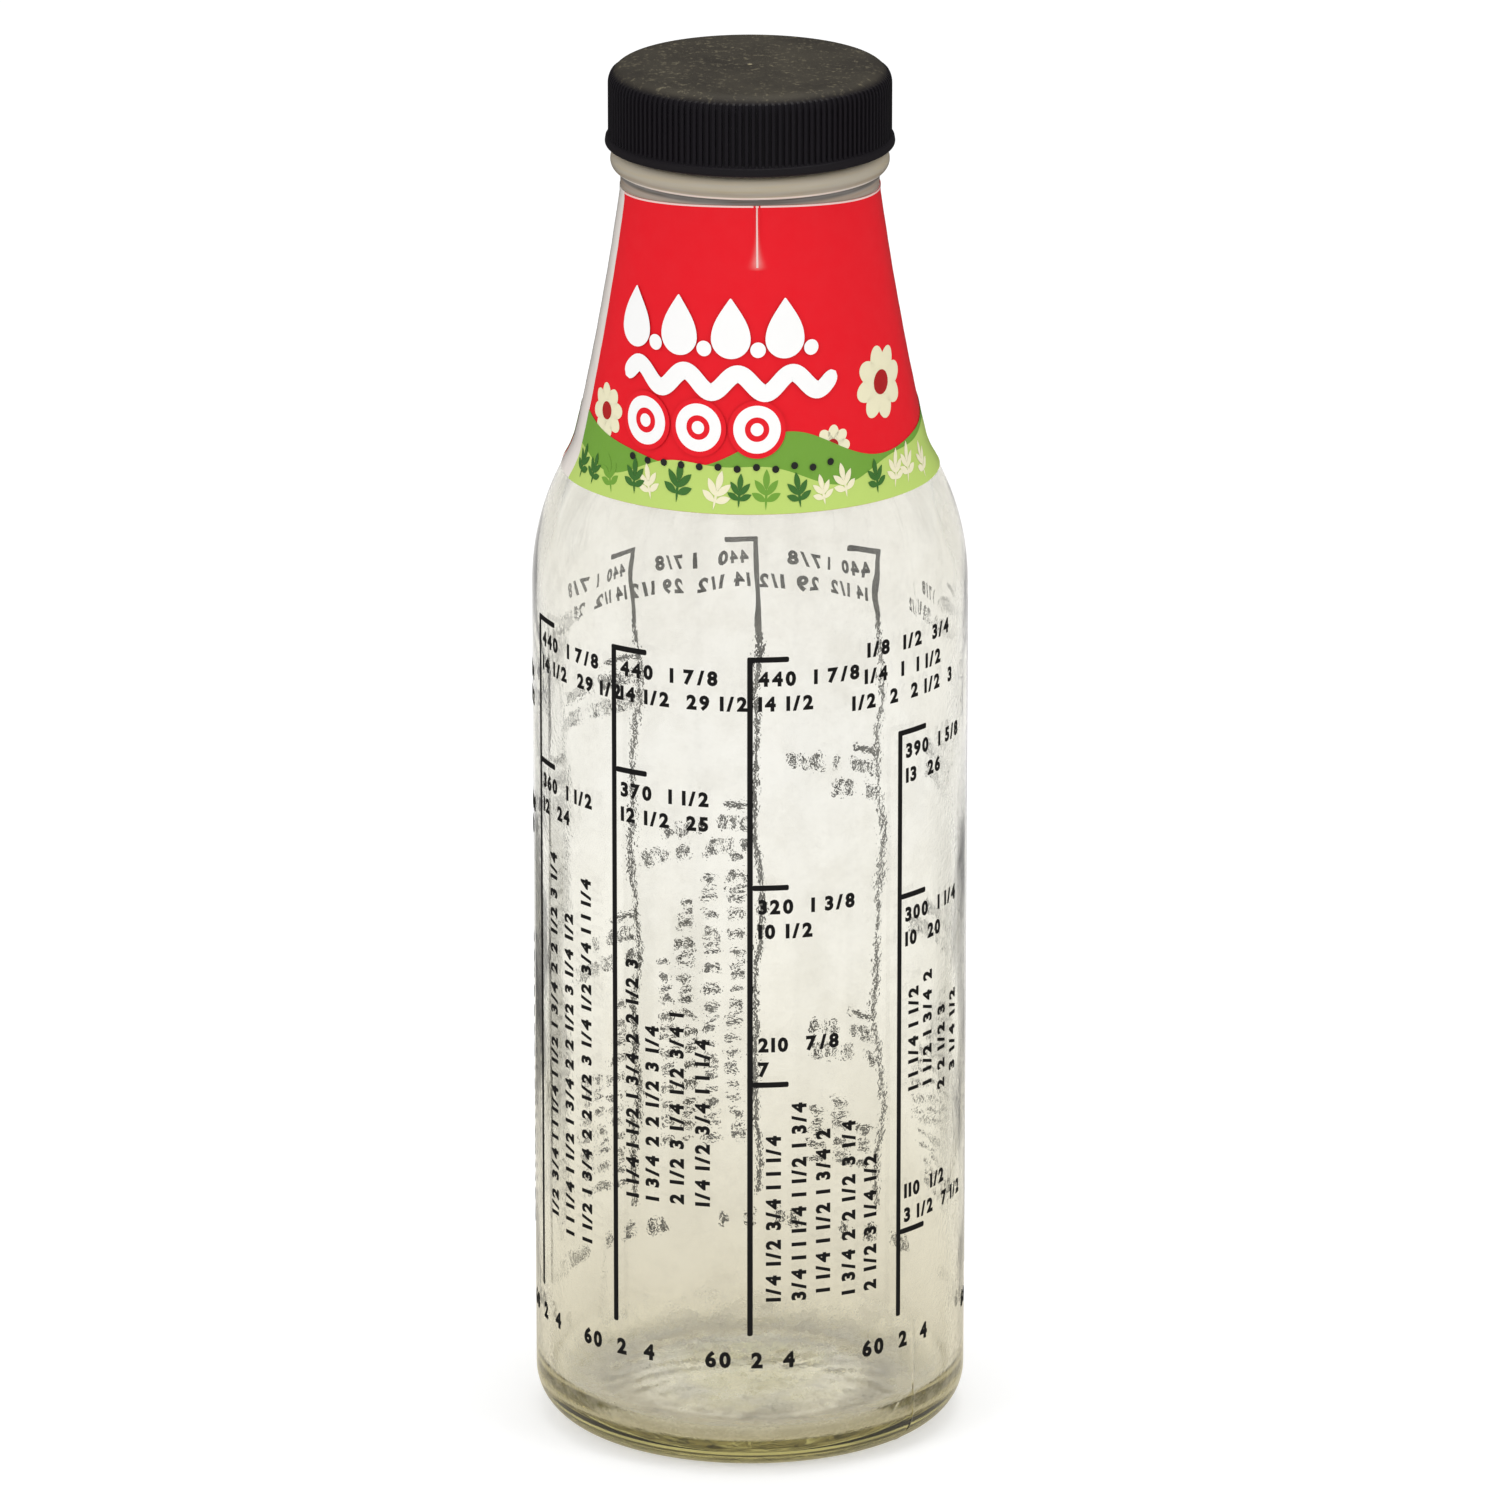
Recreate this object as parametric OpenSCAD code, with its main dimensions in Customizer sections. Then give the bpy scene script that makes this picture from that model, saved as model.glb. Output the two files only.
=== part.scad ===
// Glass shaker bottle for salad dressing, with a ribbed screw cap, a foam liner,
// a shrink label round the neck and measuring scales printed on the wall.
// The origin is the centre of the base, on the surface that the bottle stands on.

/* [Bottle body] */
// Outer diameter of the body
body_d = 70; // [60:1:84]
// Height of the mouth above the surface it stands on
mouth_h = 223.2; // [205:1:240]
// Thickness of the glass in the body's wall
wall = 2.4; // [1.6:0.1:3.2]
// Thickness of the glass at the centre of the floor
floor_t = 3.4; // [2.4:0.2:6]
// Radius of the outer edge where the wall meets the base
heel_r = 7.5; // [4:0.5:10]
// Width of the flat ring that the bottle stands on
ring_w = 3.5; // [2:0.5:6]
// Rise of the hollow underside at its centre
push_up = 3; // [1:0.2:5]
// Radius between the wall's inner face and the floor
inner_heel_r = 5.6; // [4:0.2:10]

/* [Shoulder and neck] */
// Height at which the shoulder starts to curve in
shoulder_h = 140.5; // [120:1:145]
// Height of the edge between the shoulder and the flared neck
kink_h = 163; // [158:1:170]
// Outer diameter at that edge
kink_d = 56.6; // [52:0.5:60]
// Outer diameter of the neck under its bead
neck_d = 41.2; // [41:0.1:43]
// How far the flare bows inwards between its ends
flare_bow = 0.45; // [0:0.05:1.5]

/* [Neck finish] */
// Bore of the mouth
bore_d = 34.6; // [30:0.2:35]
// Outer diameter of the wall that carries the thread
finish_d = 39.4; // [39.2:0.1:39.8]
// Outer diameter over the bottle's thread
thread_d = 41.8; // [41.4:0.1:42]
// Rise of the thread in one turn
thread_pitch = 4.233; // [4.1:0.01:4.4]
// Turns of thread on the bottle and in the cap
thread_turns = 1.25; // [1:0.05:1.4]
// Diameter over the bead under the cap
bead_d = 44.4; // [43.6:0.1:45]
// Radius of the bead's round edge
bead_r = 1.8; // [1.2:0.1:2]
// Gap between the bead and the cap
bead_gap = 0.6; // [0.3:0.1:1.5]

/* [Screw cap] */
// Diameter over the cap's ribs
cap_d = 45.1; // [44.8:0.1:46.5]
// Diameter over the smooth band at the cap's lower edge
band_d = 46.1; // [45.4:0.1:47.4]
// Height of the cap
cap_h = 13.6; // [12.8:0.1:14]
// Thickness of the cap's top
cap_top = 1.4; // [1:0.1:2]
// Radius of the cap's upper edge
cap_edge_r = 2.9; // [2:0.1:3.2]
// Number of ribs round the cap
rib_count = 134; // [80:2:150]
// Depth of the grooves between the ribs
rib_depth = 0.4; // [0.2:0.05:0.5]
// Height of the smooth band
band_h = 2.4; // [2:0.1:3.2]
// Inner diameter of the cap's skirt
skirt_bore_d = 42.4; // [42.3:0.1:42.8]
// Inner diameter over the cap's thread
cap_thread_d = 40.2; // [40.1:0.05:40.5]

/* [Liner] */
// Thickness of the foam liner
liner_t = 1; // [0.8:0.1:1.4]
// Diameter of the foam liner
liner_d = 41.4; // [40.6:0.1:42]

/* [Neck label] */
// How far the label reaches down over the shoulder
label_skirt = 3; // [1:0.5:6]
// Gap between the label's upper edge and the bead
label_gap = 1; // [0.6:0.2:6]
// Thickness of the shrunk film
film_t = 0.2; // [0.1:0.05:0.3]

/* [Printed scales] */
// Height of the lower end of every scale
scale_low = 24.2; // [18:0.2:40]
// Gap between the shoulder and the upper ends of the longest scales
scale_gap = 2.5; // [1:0.5:10]
// Width of the printed lines
line_w = 0.9; // [0.5:0.1:1.5]
// Length of a mark across a scale
mark_l = 6.2; // [3:0.2:10]
// Thickness of the fired ink
ink_t = 0.06; // [0.04:0.01:0.1]

/* [Hidden] */

$fn = 96;
eps = 0.01;
glass_c = [0.88, 0.88, 0.84, 0.4];
cap_c = [0.11, 0.105, 0.1];
liner_c = [0.93, 0.92, 0.88];
label_c = [0.9, 0.14, 0.17];
ink_c = [0.06, 0.06, 0.06];

body_r = body_d / 2;
kink_r = kink_d / 2;
neck_r = neck_d / 2;
bore_r = bore_d / 2;
finish_r = finish_d / 2;

// Curved stretches of the profiles
arc_steps = 10;
function arc(c, r, a0, a1) =
    [for (i = [0 : arc_steps])
        let (a = a0 + (a1 - a0) * i / arc_steps)
        c + r * [cos(a), sin(a)]];

// The shoulder is one arc that leaves the wall upright and ends at the neck's edge
shoulder_rise = kink_h - shoulder_h;
shoulder_drop = body_r - kink_r;
shoulder_a = 2 * atan(shoulder_drop / shoulder_rise);
shoulder_r = shoulder_rise / sin(shoulder_a);
shoulder_c = [body_r - shoulder_r, shoulder_h];

// The neck flares up to a short cylinder under the bead
cap_z = mouth_h + liner_t + cap_top - cap_h;
bead_z = cap_z - bead_gap - bead_r;
bead_c = bead_d / 2 - bead_r;
bead_low_a = -acos(max(-1, min(1, (neck_r - bead_c) / bead_r)));
bead_top_gap = 0.3;
neck_cyl_l = 3.6;
flare_top = bead_z - bead_r - neck_cyl_l;
flare_steps = 12;
function flare(low, high, inset) =
    [for (i = [0 : flare_steps])
        let (z = low + (high - low) * i / flare_steps, t = (z - kink_h) / (flare_top - kink_h))
        [kink_r + (neck_r - kink_r) * t - 4 * flare_bow * t * (1 - t) - inset, z]];

// The hollow underside and the floor above it are shallow domes on one formula
dome_steps = 6;
function dome(r, rise, z0) =
    [for (i = [0 : dome_steps]) [r * i / dome_steps, z0 + rise * (1 - pow(i / dome_steps, 2))]];
function reversed(p) = [for (i = [len(p) - 1 : -1 : 0]) p[i]];

ring_r = body_r - heel_r - ring_w;
inner_r = body_r - wall;
inner_floor_r = inner_r - inner_heel_r;
floor_dome = 1.6;
floor_z = push_up + floor_t - floor_dome;
lip_r = 1;
lip_inner_r = 0.7;
throat_h = 5;

bottle_profile = concat(
    dome(ring_r, push_up, 0),
    arc([body_r - heel_r, heel_r], heel_r, -90, 0),
    arc(shoulder_c, shoulder_r, 0, shoulder_a),
    flare(kink_h, flare_top, 0),
    arc([bead_c, bead_z], bead_r, bead_low_a, 90),
    [[finish_r, bead_z + bead_r + bead_top_gap]],
    arc([finish_r - lip_r, mouth_h - lip_r], lip_r, 0, 90),
    arc([bore_r + lip_inner_r, mouth_h - lip_inner_r], lip_inner_r, 90, 180),
    [[bore_r, bead_z - bead_r]],
    reversed(flare(kink_h, flare_top - throat_h, wall)),
    reversed(arc(shoulder_c, shoulder_r - wall, 0, shoulder_a)),
    arc([inner_floor_r, floor_z + inner_heel_r], inner_heel_r, 0, -90),
    reversed(dome(inner_floor_r, floor_dome, floor_z)));

// Threads are ridges with slanting flanks. Both follow one right-handed helix, the
// cap's ridge below the bottle's, and both run out into the wall at their ends.
thread_steps = 60;
run_out = 0.12;
root_depth = 0.5;
faded_depth = 0.05;
ridge_foot = 1.15;
ridge_crest = 0.5;
flank_gap = 0.3;
mouth_to_thread = 1.9;
bottle_thread_z = mouth_h - mouth_to_thread - thread_turns * thread_pitch;
shared_depth = (thread_d - cap_thread_d) / (thread_d - finish_d);
ridge_lead = 2 * (ridge_crest + (ridge_foot - ridge_crest) * shared_depth) + flank_gap;
cap_thread_z = bottle_thread_z - ridge_lead;

// One section of a ridge at angle a and height z: foot in the wall, then the tip
function ridge_ring(a, z, foot_r, foot_half, tip_r, tip_half) = [
    [foot_r * cos(a), foot_r * sin(a), z - foot_half],
    [tip_r * cos(a), tip_r * sin(a), z - tip_half],
    [tip_r * cos(a), tip_r * sin(a), z + tip_half],
    [foot_r * cos(a), foot_r * sin(a), z + foot_half]];

// A helical ridge that stands on the radius root and reaches the radius crest,
// outwards or inwards, and starts at height z0
module ridge(root, crest, z0) {
    side = sign(crest - root);
    slope = (ridge_foot - ridge_crest) / abs(crest - root);
    foot_half = ridge_foot + slope * root_depth;
    rings = [for (i = [0 : thread_steps])
        let (t = i / thread_steps,
            grown = min(1, t / run_out, (1 - t) / run_out),
            height = (abs(crest - root) + faded_depth) * grown - faded_depth)
        ridge_ring(360 * thread_turns * t, z0 + thread_pitch * thread_turns * t,
            root - side * root_depth, foot_half,
            root + side * height, foot_half - slope * (height + root_depth))];
    points = [for (ring = rings, p = ring) p];
    faces = concat(
        [[0, 1, 2, 3]],
        [for (i = [0 : thread_steps - 1], j = [0 : 3])
            let (a = 4 * i, k = (j + 1) % 4)
            each [[a + j, a + 4 + j, a + 4 + k], [a + j, a + 4 + k, a + k]]],
        [[for (j = [3 : -1 : 0]) 4 * thread_steps + j]]);
    polyhedron(points, side > 0 ? [for (f = faces) reversed(f)] : faces);
}

module glass_bottle() {
    color(glass_c)
        union() {
            rotate_extrude() polygon(bottle_profile);
            ridge(finish_r, thread_d / 2, bottle_thread_z);
        }
}

// The cap's own heights are counted from its lower edge
cap_r = cap_d / 2;
groove_r = cap_r - rib_depth;
band_r = band_d / 2;
band_edge_r = 0.5;
band_taper = 0.9;
skirt_r = skirt_bore_d / 2;
skirt_l = cap_h - cap_top;
rib_rise = 0.9;
rib_top = cap_h - cap_edge_r + rib_rise;
edge_low_a = asin(rib_rise / cap_edge_r);
below = 1;

// Each rib is a land with two flanks, given as shares of the step from rib to rib
rib_step = 360 / rib_count;
rib_land = 0.42;
rib_foot = 0.58;
rib_corners = [
    [-rib_foot / 2, groove_r],
    [-rib_land / 2, cap_r],
    [rib_land / 2, cap_r],
    [rib_foot / 2, groove_r]];
rib_outline = [for (i = [0 : rib_count - 1], c = rib_corners)
    c[1] * [cos(rib_step * (i + c[0])), sin(rib_step * (i + c[0]))]];

cap_top_profile = concat(
    [[0, rib_top]],
    arc([cap_r - cap_edge_r, cap_h - cap_edge_r], cap_edge_r, edge_low_a, 90),
    [[0, cap_h]]);
band_profile = concat(
    [[0, 0]],
    arc([band_r - band_edge_r, band_edge_r], band_edge_r, -90, 0),
    [[band_r, band_h - band_taper], [groove_r, band_h], [0, band_h]]);

module screw_cap() {
    color(cap_c)
        translate([0, 0, cap_z])
        union() {
            difference() {
                union() {
                    rotate_extrude() polygon(cap_top_profile);
                    translate([0, 0, band_h - eps])
                        linear_extrude(rib_top - band_h + 2 * eps) polygon(rib_outline);
                    rotate_extrude() polygon(band_profile);
                }
                translate([0, 0, -below]) cylinder(r = skirt_r, h = skirt_l + below);
            }
            ridge(skirt_r, cap_thread_d / 2, cap_thread_z - cap_z);
        }
}

// A foam disc that lies between the mouth and the inside of the cap's top
module cap_liner() {
    color(liner_c)
        translate([0, 0, mouth_h]) cylinder(d = liner_d, h = liner_t);
}

// The shrunk sleeve follows the glass over the shoulder, up the flare and onto the neck
film_gap = 0.02;
label_low_a = asin((shoulder_rise - label_skirt) / shoulder_r);
label_high = bead_z - bead_r - label_gap;
label_flare_top = min(label_high, flare_top);
function on_glass(gap) = concat(
    arc(shoulder_c, shoulder_r + gap, label_low_a, shoulder_a),
    flare(kink_h, label_flare_top, -gap),
    [[neck_r + gap, max(label_high, flare_top + eps)]]);
label_profile = concat(on_glass(film_gap + film_t), reversed(on_glass(film_gap)));

module neck_label() {
    color(label_c)
        rotate_extrude() polygon(label_profile);
}

// The scales round the wall: each one's place in degrees from the front, then how far
// its marks lie below the longest scales' upper ends, the first at its own end
scale_high = shoulder_h - scale_gap;
scales = [
    [0, [0, 37.8, 70.8]],
    [43, [15, 42.4, 99.1]],
    [91, [0, 26, 54]],
    [140, [0, 34, 80]],
    [178, [0, 45.5]],
    [215, [0, 18, 62]],
    [251, [8, 30]],
    [287, [0, 23.7]],
    [322, [0, 20.1]]];
front_a = -90;
line_a = line_w / body_r * 180 / PI;
mark_a = mark_l / body_r * 180 / PI;

// A patch of ink on the wall, over an angle from the scale's line and a height
module ink_patch(angle, z0, z1) {
    rotate_extrude(angle = angle)
        translate([body_r, z0]) square([ink_t, z1 - z0]);
}

module fill_scales() {
    color(ink_c)
        for (s = scales)
            rotate([0, 0, front_a + s[0] - line_a / 2])
            union() {
                ink_patch(line_a, scale_low, scale_high - s[1][0]);
                for (drop = s[1]) ink_patch(mark_a, scale_high - drop - line_w, scale_high - drop);
            }
}

glass_bottle();
screw_cap();
cap_liner();
neck_label();
fill_scales();
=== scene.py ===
"""Dress the packed shaker bottle: clear glass, a ribbed cap, a foam liner, a neck label and printed scales."""

import math

import bpy
import numpy as np
from bpy.props import FloatProperty, FloatVectorProperty, IntProperty, PointerProperty
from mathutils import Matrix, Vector


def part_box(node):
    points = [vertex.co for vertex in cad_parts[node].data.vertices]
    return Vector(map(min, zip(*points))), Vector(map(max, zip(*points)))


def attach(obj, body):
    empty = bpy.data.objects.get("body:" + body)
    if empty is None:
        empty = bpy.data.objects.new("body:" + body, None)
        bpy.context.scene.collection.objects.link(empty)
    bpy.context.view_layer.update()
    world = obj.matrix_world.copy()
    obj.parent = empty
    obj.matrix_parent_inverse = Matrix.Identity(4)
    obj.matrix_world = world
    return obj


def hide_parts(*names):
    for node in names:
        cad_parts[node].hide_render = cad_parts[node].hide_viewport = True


bl_info = {
    "name": "Shaker Bottle",
    "version": (1, 0, 0),
    "blender": (4, 5, 0),
    "location": "3D View > Sidebar > Shaker Bottle",
    "description": "Builds a glass dressing shaker with its cap, liner, label and printed scales",
    "category": "Add Mesh",
}

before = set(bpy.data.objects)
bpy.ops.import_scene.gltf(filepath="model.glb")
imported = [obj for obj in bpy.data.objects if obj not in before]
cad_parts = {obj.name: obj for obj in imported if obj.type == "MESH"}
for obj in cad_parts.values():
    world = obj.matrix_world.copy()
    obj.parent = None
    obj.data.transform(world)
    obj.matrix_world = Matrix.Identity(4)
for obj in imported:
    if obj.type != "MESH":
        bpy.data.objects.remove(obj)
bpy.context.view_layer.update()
MM = 0.001
GLASS_LOW, GLASS_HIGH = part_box("glass_bottle")
CAP_LOW, CAP_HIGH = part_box("screw_cap")
LINER_LOW, LINER_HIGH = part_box("cap_liner")
LABEL_LOW, LABEL_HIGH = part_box("neck_label")
SCALES_LOW, SCALES_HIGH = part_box("fill_scales")
MOUTH = GLASS_HIGH.z
CAP_FOOT = CAP_LOW.z + 0.75 * MM
FRONT = -90.0


def length(name, description, default, low, high):
    """A size property in metres."""
    return FloatProperty(name=name, description=description, default=default, min=low, max=high,
                         precision=5, subtype="DISTANCE", unit="LENGTH")


def colour(name, description, default):
    """A linear colour property."""
    return FloatVectorProperty(name=name, description=description, default=default, size=3,
                               min=0.0, max=1.0, subtype="COLOR")


class GlassShape(bpy.types.PropertyGroup):
    """Sizes of the glass and the tint of its thick parts."""

    wall: length("Wall", "Thickness of the wall", 2.4 * MM, 1.5 * MM, 4 * MM)
    heel: length("Heel", "Radius of the outer edge at the base", 7.5 * MM, 4 * MM, 10 * MM)
    ring: length("Standing ring", "Width of the flat ring under the base", 3.5 * MM, 2 * MM, 6 * MM)
    push_up: length("Push-up", "Rise of the hollow underside", 3.0 * MM, 1 * MM, 6 * MM)
    floor: length("Floor", "Thickness of the floor at its centre", 3.4 * MM, 2 * MM, 8 * MM)
    inner_heel: length("Inner heel", "Radius between the inner wall and the floor", 5.6 * MM, 3 * MM, 10 * MM)
    shoulder: length("Shoulder", "Height at which the shoulder starts", 140.5 * MM, 0.12, 0.15)
    kink: length("Neck edge", "Height of the edge between shoulder and neck", 163 * MM, 0.15, 0.17)
    kink_radius: length("Neck edge radius", "Outer radius at that edge", 28.3 * MM, 0.025, 0.03)
    neck_radius: length("Neck radius", "Outer radius under the bead", 20.6 * MM, 0.02, 0.022)
    bore: length("Bore", "Radius of the mouth's bore", 17.3 * MM, 0.015, 0.018)
    finish: length("Finish", "Outer radius of the threaded wall", 19.7 * MM, 0.019, 0.02)
    bead: length("Bead", "Radius over the bead", 22.2 * MM, 0.021, 0.023)
    bead_round: length("Bead edge", "Radius of the bead's round edge", 1.8 * MM, 0.001, 0.002)
    ripple: FloatProperty(name="Ripple", description="Strength of the slow waves in the inner wall", default=0.4,
                          min=0.0, max=2.0)
    tint: colour("Tint", "Colour left after a centimetre of glass", (0.882, 0.868, 0.745))


class CapShape(bpy.types.PropertyGroup):
    """Sizes and colour of the screw cap."""

    ribs: IntProperty(name="Ribs", description="Number of ribs round the cap", default=134, min=60, max=180)
    radius: length("Radius", "Radius over the ribs", 22.55 * MM, 0.02, 0.025)
    depth: length("Groove", "Depth of the grooves between the ribs", 0.4 * MM, 0.0001, 0.001)
    edge: length("Edge", "Radius of the upper edge", 2.9 * MM, 0.001, 0.005)
    band: length("Band", "Height of the smooth band", 1.5 * MM, 0.001, 0.004)
    bore: length("Bore", "Inner radius of the skirt", 21.2 * MM, 0.02, 0.022)
    top: length("Top", "Thickness of the top", 1.4 * MM, 0.0008, 0.002)
    plastic: colour("Plastic", "Colour of the cap", (0.0122, 0.0103, 0.0133))
    # The top's colour stands for dust and specks and also for a painted sheen of the light from above.
    dust_and_sheen: colour("Dust", "Colour of the dull, dusty top", (0.066, 0.057, 0.041))


class LabelShape(bpy.types.PropertyGroup):
    """Sizes and colours of the neck label."""

    film: length("Film", "Thickness of the film", 0.12 * MM, 0.00005, 0.0003)
    red: colour("Red", "Ground colour of the label", (0.8, 0.008, 0.018))
    seam_place: FloatProperty(name="Seam", description="Place of the clear seam, in degrees from the front",
                              default=-73.0, min=-180.0, max=180.0)


class ScaleShape(bpy.types.PropertyGroup):
    """Sizes and colour of the printed scales."""

    line: length("Line", "Width of a printed line", 0.9 * MM, 0.0005, 0.0015)
    mark: length("Mark", "Length of a mark across a scale", 6.2 * MM, 0.003, 0.01)
    digit: length("Digit", "Height of the digits", 2.5 * MM, 0.001, 0.005)
    ink: colour("Ink", "Colour of the fired ink", (0.012, 0.011, 0.0105))


class StageShape(bpy.types.PropertyGroup):
    """Camera and light."""

    distance: length("Distance", "Distance from the camera to the bottle", 1.8, 0.5, 5.0)
    elevation: FloatProperty(name="Elevation", description="Camera's height above the horizon, in degrees",
                             default=17.19, min=0.0, max=60.0)
    aim: length("Aim", "Height that the camera looks at", 0.1119, 0.0, 0.3)
    lens: FloatProperty(name="Lens", description="Focal length in millimetres", default=267.8, min=50.0, max=400.0)
    ambient: FloatProperty(name="Ambient", description="Level of the light from all round", default=0.76,
                           min=0.0, max=2.0)
    dull: FloatProperty(name="Dull", description="Level of the room in dull reflections", default=0.05,
                        min=0.0, max=2.0)
    lamps: FloatProperty(name="Lamps", description="Power of the lamps, in watts", default=3.6,
                         min=0.0, max=50.0, unit="POWER")


# Curves and profiles


def arc(centre, radius, start, end, steps):
    """Points on a circle: centre + radius * (cos a, sin a), for steps + 1 angles a from start to end in degrees."""
    a = np.radians(np.linspace(start, end, steps + 1))
    return np.stack([centre[0] + radius * np.cos(a), centre[1] + radius * np.sin(a)], 1)


def line(start, end, steps):
    """Points on the straight line start + t * (end - start), for steps + 1 values t from 0 to 1."""
    t = np.linspace(0, 1, steps + 1)[:, None]
    return np.array(start) * (1 - t) + np.array(end) * t


def joined(*stretches):
    """One profile from several stretches, with the points that follow each other at one place merged."""
    points = np.concatenate(stretches)
    keep = np.r_[True, np.linalg.norm(np.diff(points, axis=0), axis=1) > 1e-7]
    return points[keep]


def shoulder_arc(g):
    """Centre, radius and end angle of the arc that leaves the wall upright and ends at the neck's edge."""
    rise = g.kink - g.shoulder
    drop = CAP_BODY_RADIUS - g.kink_radius
    angle = 2 * math.atan(drop / rise)
    radius = rise / math.sin(angle)
    return (CAP_BODY_RADIUS - radius, g.shoulder), radius, math.degrees(angle)


CAP_BODY_RADIUS = GLASS_HIGH.x
FLARE_BOW = 0.45 * MM
BEAD_GAP = 0.6 * MM
NECK_CYLINDER = 3.6 * MM


def bead_height(g):
    """Height of the bead's middle, a fixed gap under the cap."""
    return CAP_FOOT - BEAD_GAP - g.bead_round


def flare_top(g):
    """Height at which the flare turns into the short cylinder under the bead."""
    return bead_height(g) - g.bead_round - NECK_CYLINDER


def flare_radius(g, z):
    """Outer radius of the flared neck at height z: a straight taper less a parabola that bows it inwards."""
    t = (z - g.kink) / (flare_top(g) - g.kink)
    return g.kink_radius + (g.neck_radius - g.kink_radius) * t - 4 * FLARE_BOW * t * (1 - t)


def outer_radius(g, z):
    """Outer radius of the glass at height z, from the body's wall to the neck under the bead."""
    centre, radius, _ = shoulder_arc(g)
    on_arc = centre[0] + np.sqrt(np.maximum(radius ** 2 - (z - centre[1]) ** 2, 0))
    above = np.where(z < flare_top(g), flare_radius(g, z), g.neck_radius)
    return np.where(z < g.shoulder, CAP_BODY_RADIUS, np.where(z < g.kink, on_arc, above))


# Meshes


def make_mesh(name, points, faces):
    """A mesh object from an array of points and arrays of faces, each array with faces of one size."""
    mesh = bpy.data.meshes.new(name)
    corners = np.concatenate([f.ravel() for f in faces]).astype(np.int32)
    sizes = np.concatenate([np.full(len(f), f.shape[1]) for f in faces]).astype(np.int32)
    starts = np.r_[0, np.cumsum(sizes)[:-1]].astype(np.int32)
    mesh.vertices.add(len(points))
    mesh.vertices.foreach_set("co", np.asarray(points, np.float32).ravel())
    mesh.loops.add(len(corners))
    mesh.loops.foreach_set("vertex_index", corners)
    mesh.polygons.add(len(sizes))
    mesh.polygons.foreach_set("loop_start", starts)
    mesh.polygons.foreach_set("use_smooth", np.ones(len(sizes), bool))
    mesh.update(calc_edges=True)
    mesh.validate()
    mesh.set_sharp_from_angle(angle=math.radians(38))
    thing = bpy.data.objects.new(name, mesh)
    bpy.context.scene.collection.objects.link(thing)
    return thing


def grid_faces(rows, columns, round_columns=True, round_rows=False, first=0):
    """Quads between neighbouring points of a grid that is stored row by row, closed where it is round."""
    i = np.arange(rows if round_rows else rows - 1)[:, None]
    j = np.arange(columns if round_columns else columns - 1)[None, :]
    k = (j + 1) % columns
    n = (i + 1) % rows
    quads = np.stack([i * columns + j, i * columns + k, n * columns + k, n * columns + j], -1)
    return quads.reshape(-1, 4) + first


def turned(radius, height, angle):
    """Points (r cos a, r sin a, z) from arrays of radius, height and angle in radians."""
    radius, height, angle = np.broadcast_arrays(radius, height, angle)
    return np.stack([radius * np.cos(angle), radius * np.sin(angle), height], -1)


def lathed(name, radius, height, angle):
    """A closed solid of revolution. radius and height are grids of profile points by angles, and the first
    and last profile points lie on the axis, where each row becomes one point."""
    rows, columns = radius.shape
    ring = turned(radius[1:-1], height[1:-1], angle[None, :]).reshape(-1, 3)
    low = [[0, 0, height[0, 0]]]
    high = [[0, 0, height[-1, 0]]]
    points = np.concatenate([ring, low, high])
    j = np.arange(columns)
    k = (j + 1) % columns
    last = (rows - 3) * columns
    start = np.stack([np.full(columns, len(ring)), k, j], 1)
    end = np.stack([np.full(columns, len(ring) + 1), last + j, last + k], 1)
    return make_mesh(name, points, [grid_faces(rows - 2, columns), start, end])


def rimmed(front, back, faces, edges):
    """A closed film: the faces at its front points, the same faces turned round at its back points, and a quad
    for each directed edge that bounds the front."""
    count = len(front)
    a = edges[:, 0]
    b = edges[:, 1]
    sides = np.stack([b, a, a + count, b + count], 1)
    return np.concatenate([front, back]), [faces, faces[:, ::-1] + count, sides]


def film(front, back):
    """A closed film between two grids of points, whose rows go up and whose columns go to the right. Columns that
    end where they start make a ring."""
    is_ring = np.allclose(front[:, 0], front[:, -1], 0, 1e-8)
    if is_ring:
        front = front[:, :-1]
        back = back[:, :-1]
    rows, columns = front.shape[:2]
    at = np.arange(rows * columns).reshape(rows, columns)
    after = np.roll(at, -1, 1) if is_ring else at[:, 1:]
    before = at[:, :after.shape[1]]
    edges = [np.stack([before[0], after[0]], 1), np.stack([after[-1], before[-1]], 1)]
    if not is_ring:
        edges += [np.stack([at[1:, 0], at[:-1, 0]], 1), np.stack([at[:-1, -1], at[1:, -1]], 1)]
    faces = grid_faces(rows, columns, is_ring)
    return rimmed(front.reshape(-1, 3), back.reshape(-1, 3), faces, np.concatenate(edges))


def gathered(name, parts):
    """One mesh object from many sets of points and faces."""
    points = []
    faces = []
    count = 0
    for corners, sets in parts:
        points.append(corners)
        faces.extend(f + count for f in sets)
        count += len(corners)
    return make_mesh(name, np.concatenate(points), faces)


def point_values(thing, name, values):
    """Stores one number per vertex under that name, for a material to read."""
    attribute = thing.data.attributes.new(name, "FLOAT", "POINT")
    attribute.data.foreach_set("value", np.asarray(values, np.float32).ravel())


def placed(thing, body, slot, material, *nodes):
    """Gives a finished piece its material and its body and hides the solids that it stands for; the slot is not used.
    """
    thing.data.materials.append(material)
    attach(thing, body)
    if nodes:
        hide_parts(*nodes)
    return thing


# Materials


def add_node(tree, kind, values=(), **settings):
    """A shader node with its settings and the values or links of its named or numbered inputs."""
    made = tree.nodes.new(kind)
    for key, value in settings.items():
        setattr(made, key, value)
    for key, value in dict(values).items():
        if isinstance(value, bpy.types.NodeSocket):
            tree.links.new(value, made.inputs[key])
        else:
            made.inputs[key].default_value = value
    return made


def sum_of(tree, operation, a, b=0.0, c=0.0):
    """The result of one Math node."""
    return add_node(tree, "ShaderNodeMath", {0: a, 1: b, 2: c}, operation=operation).outputs[0]


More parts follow.
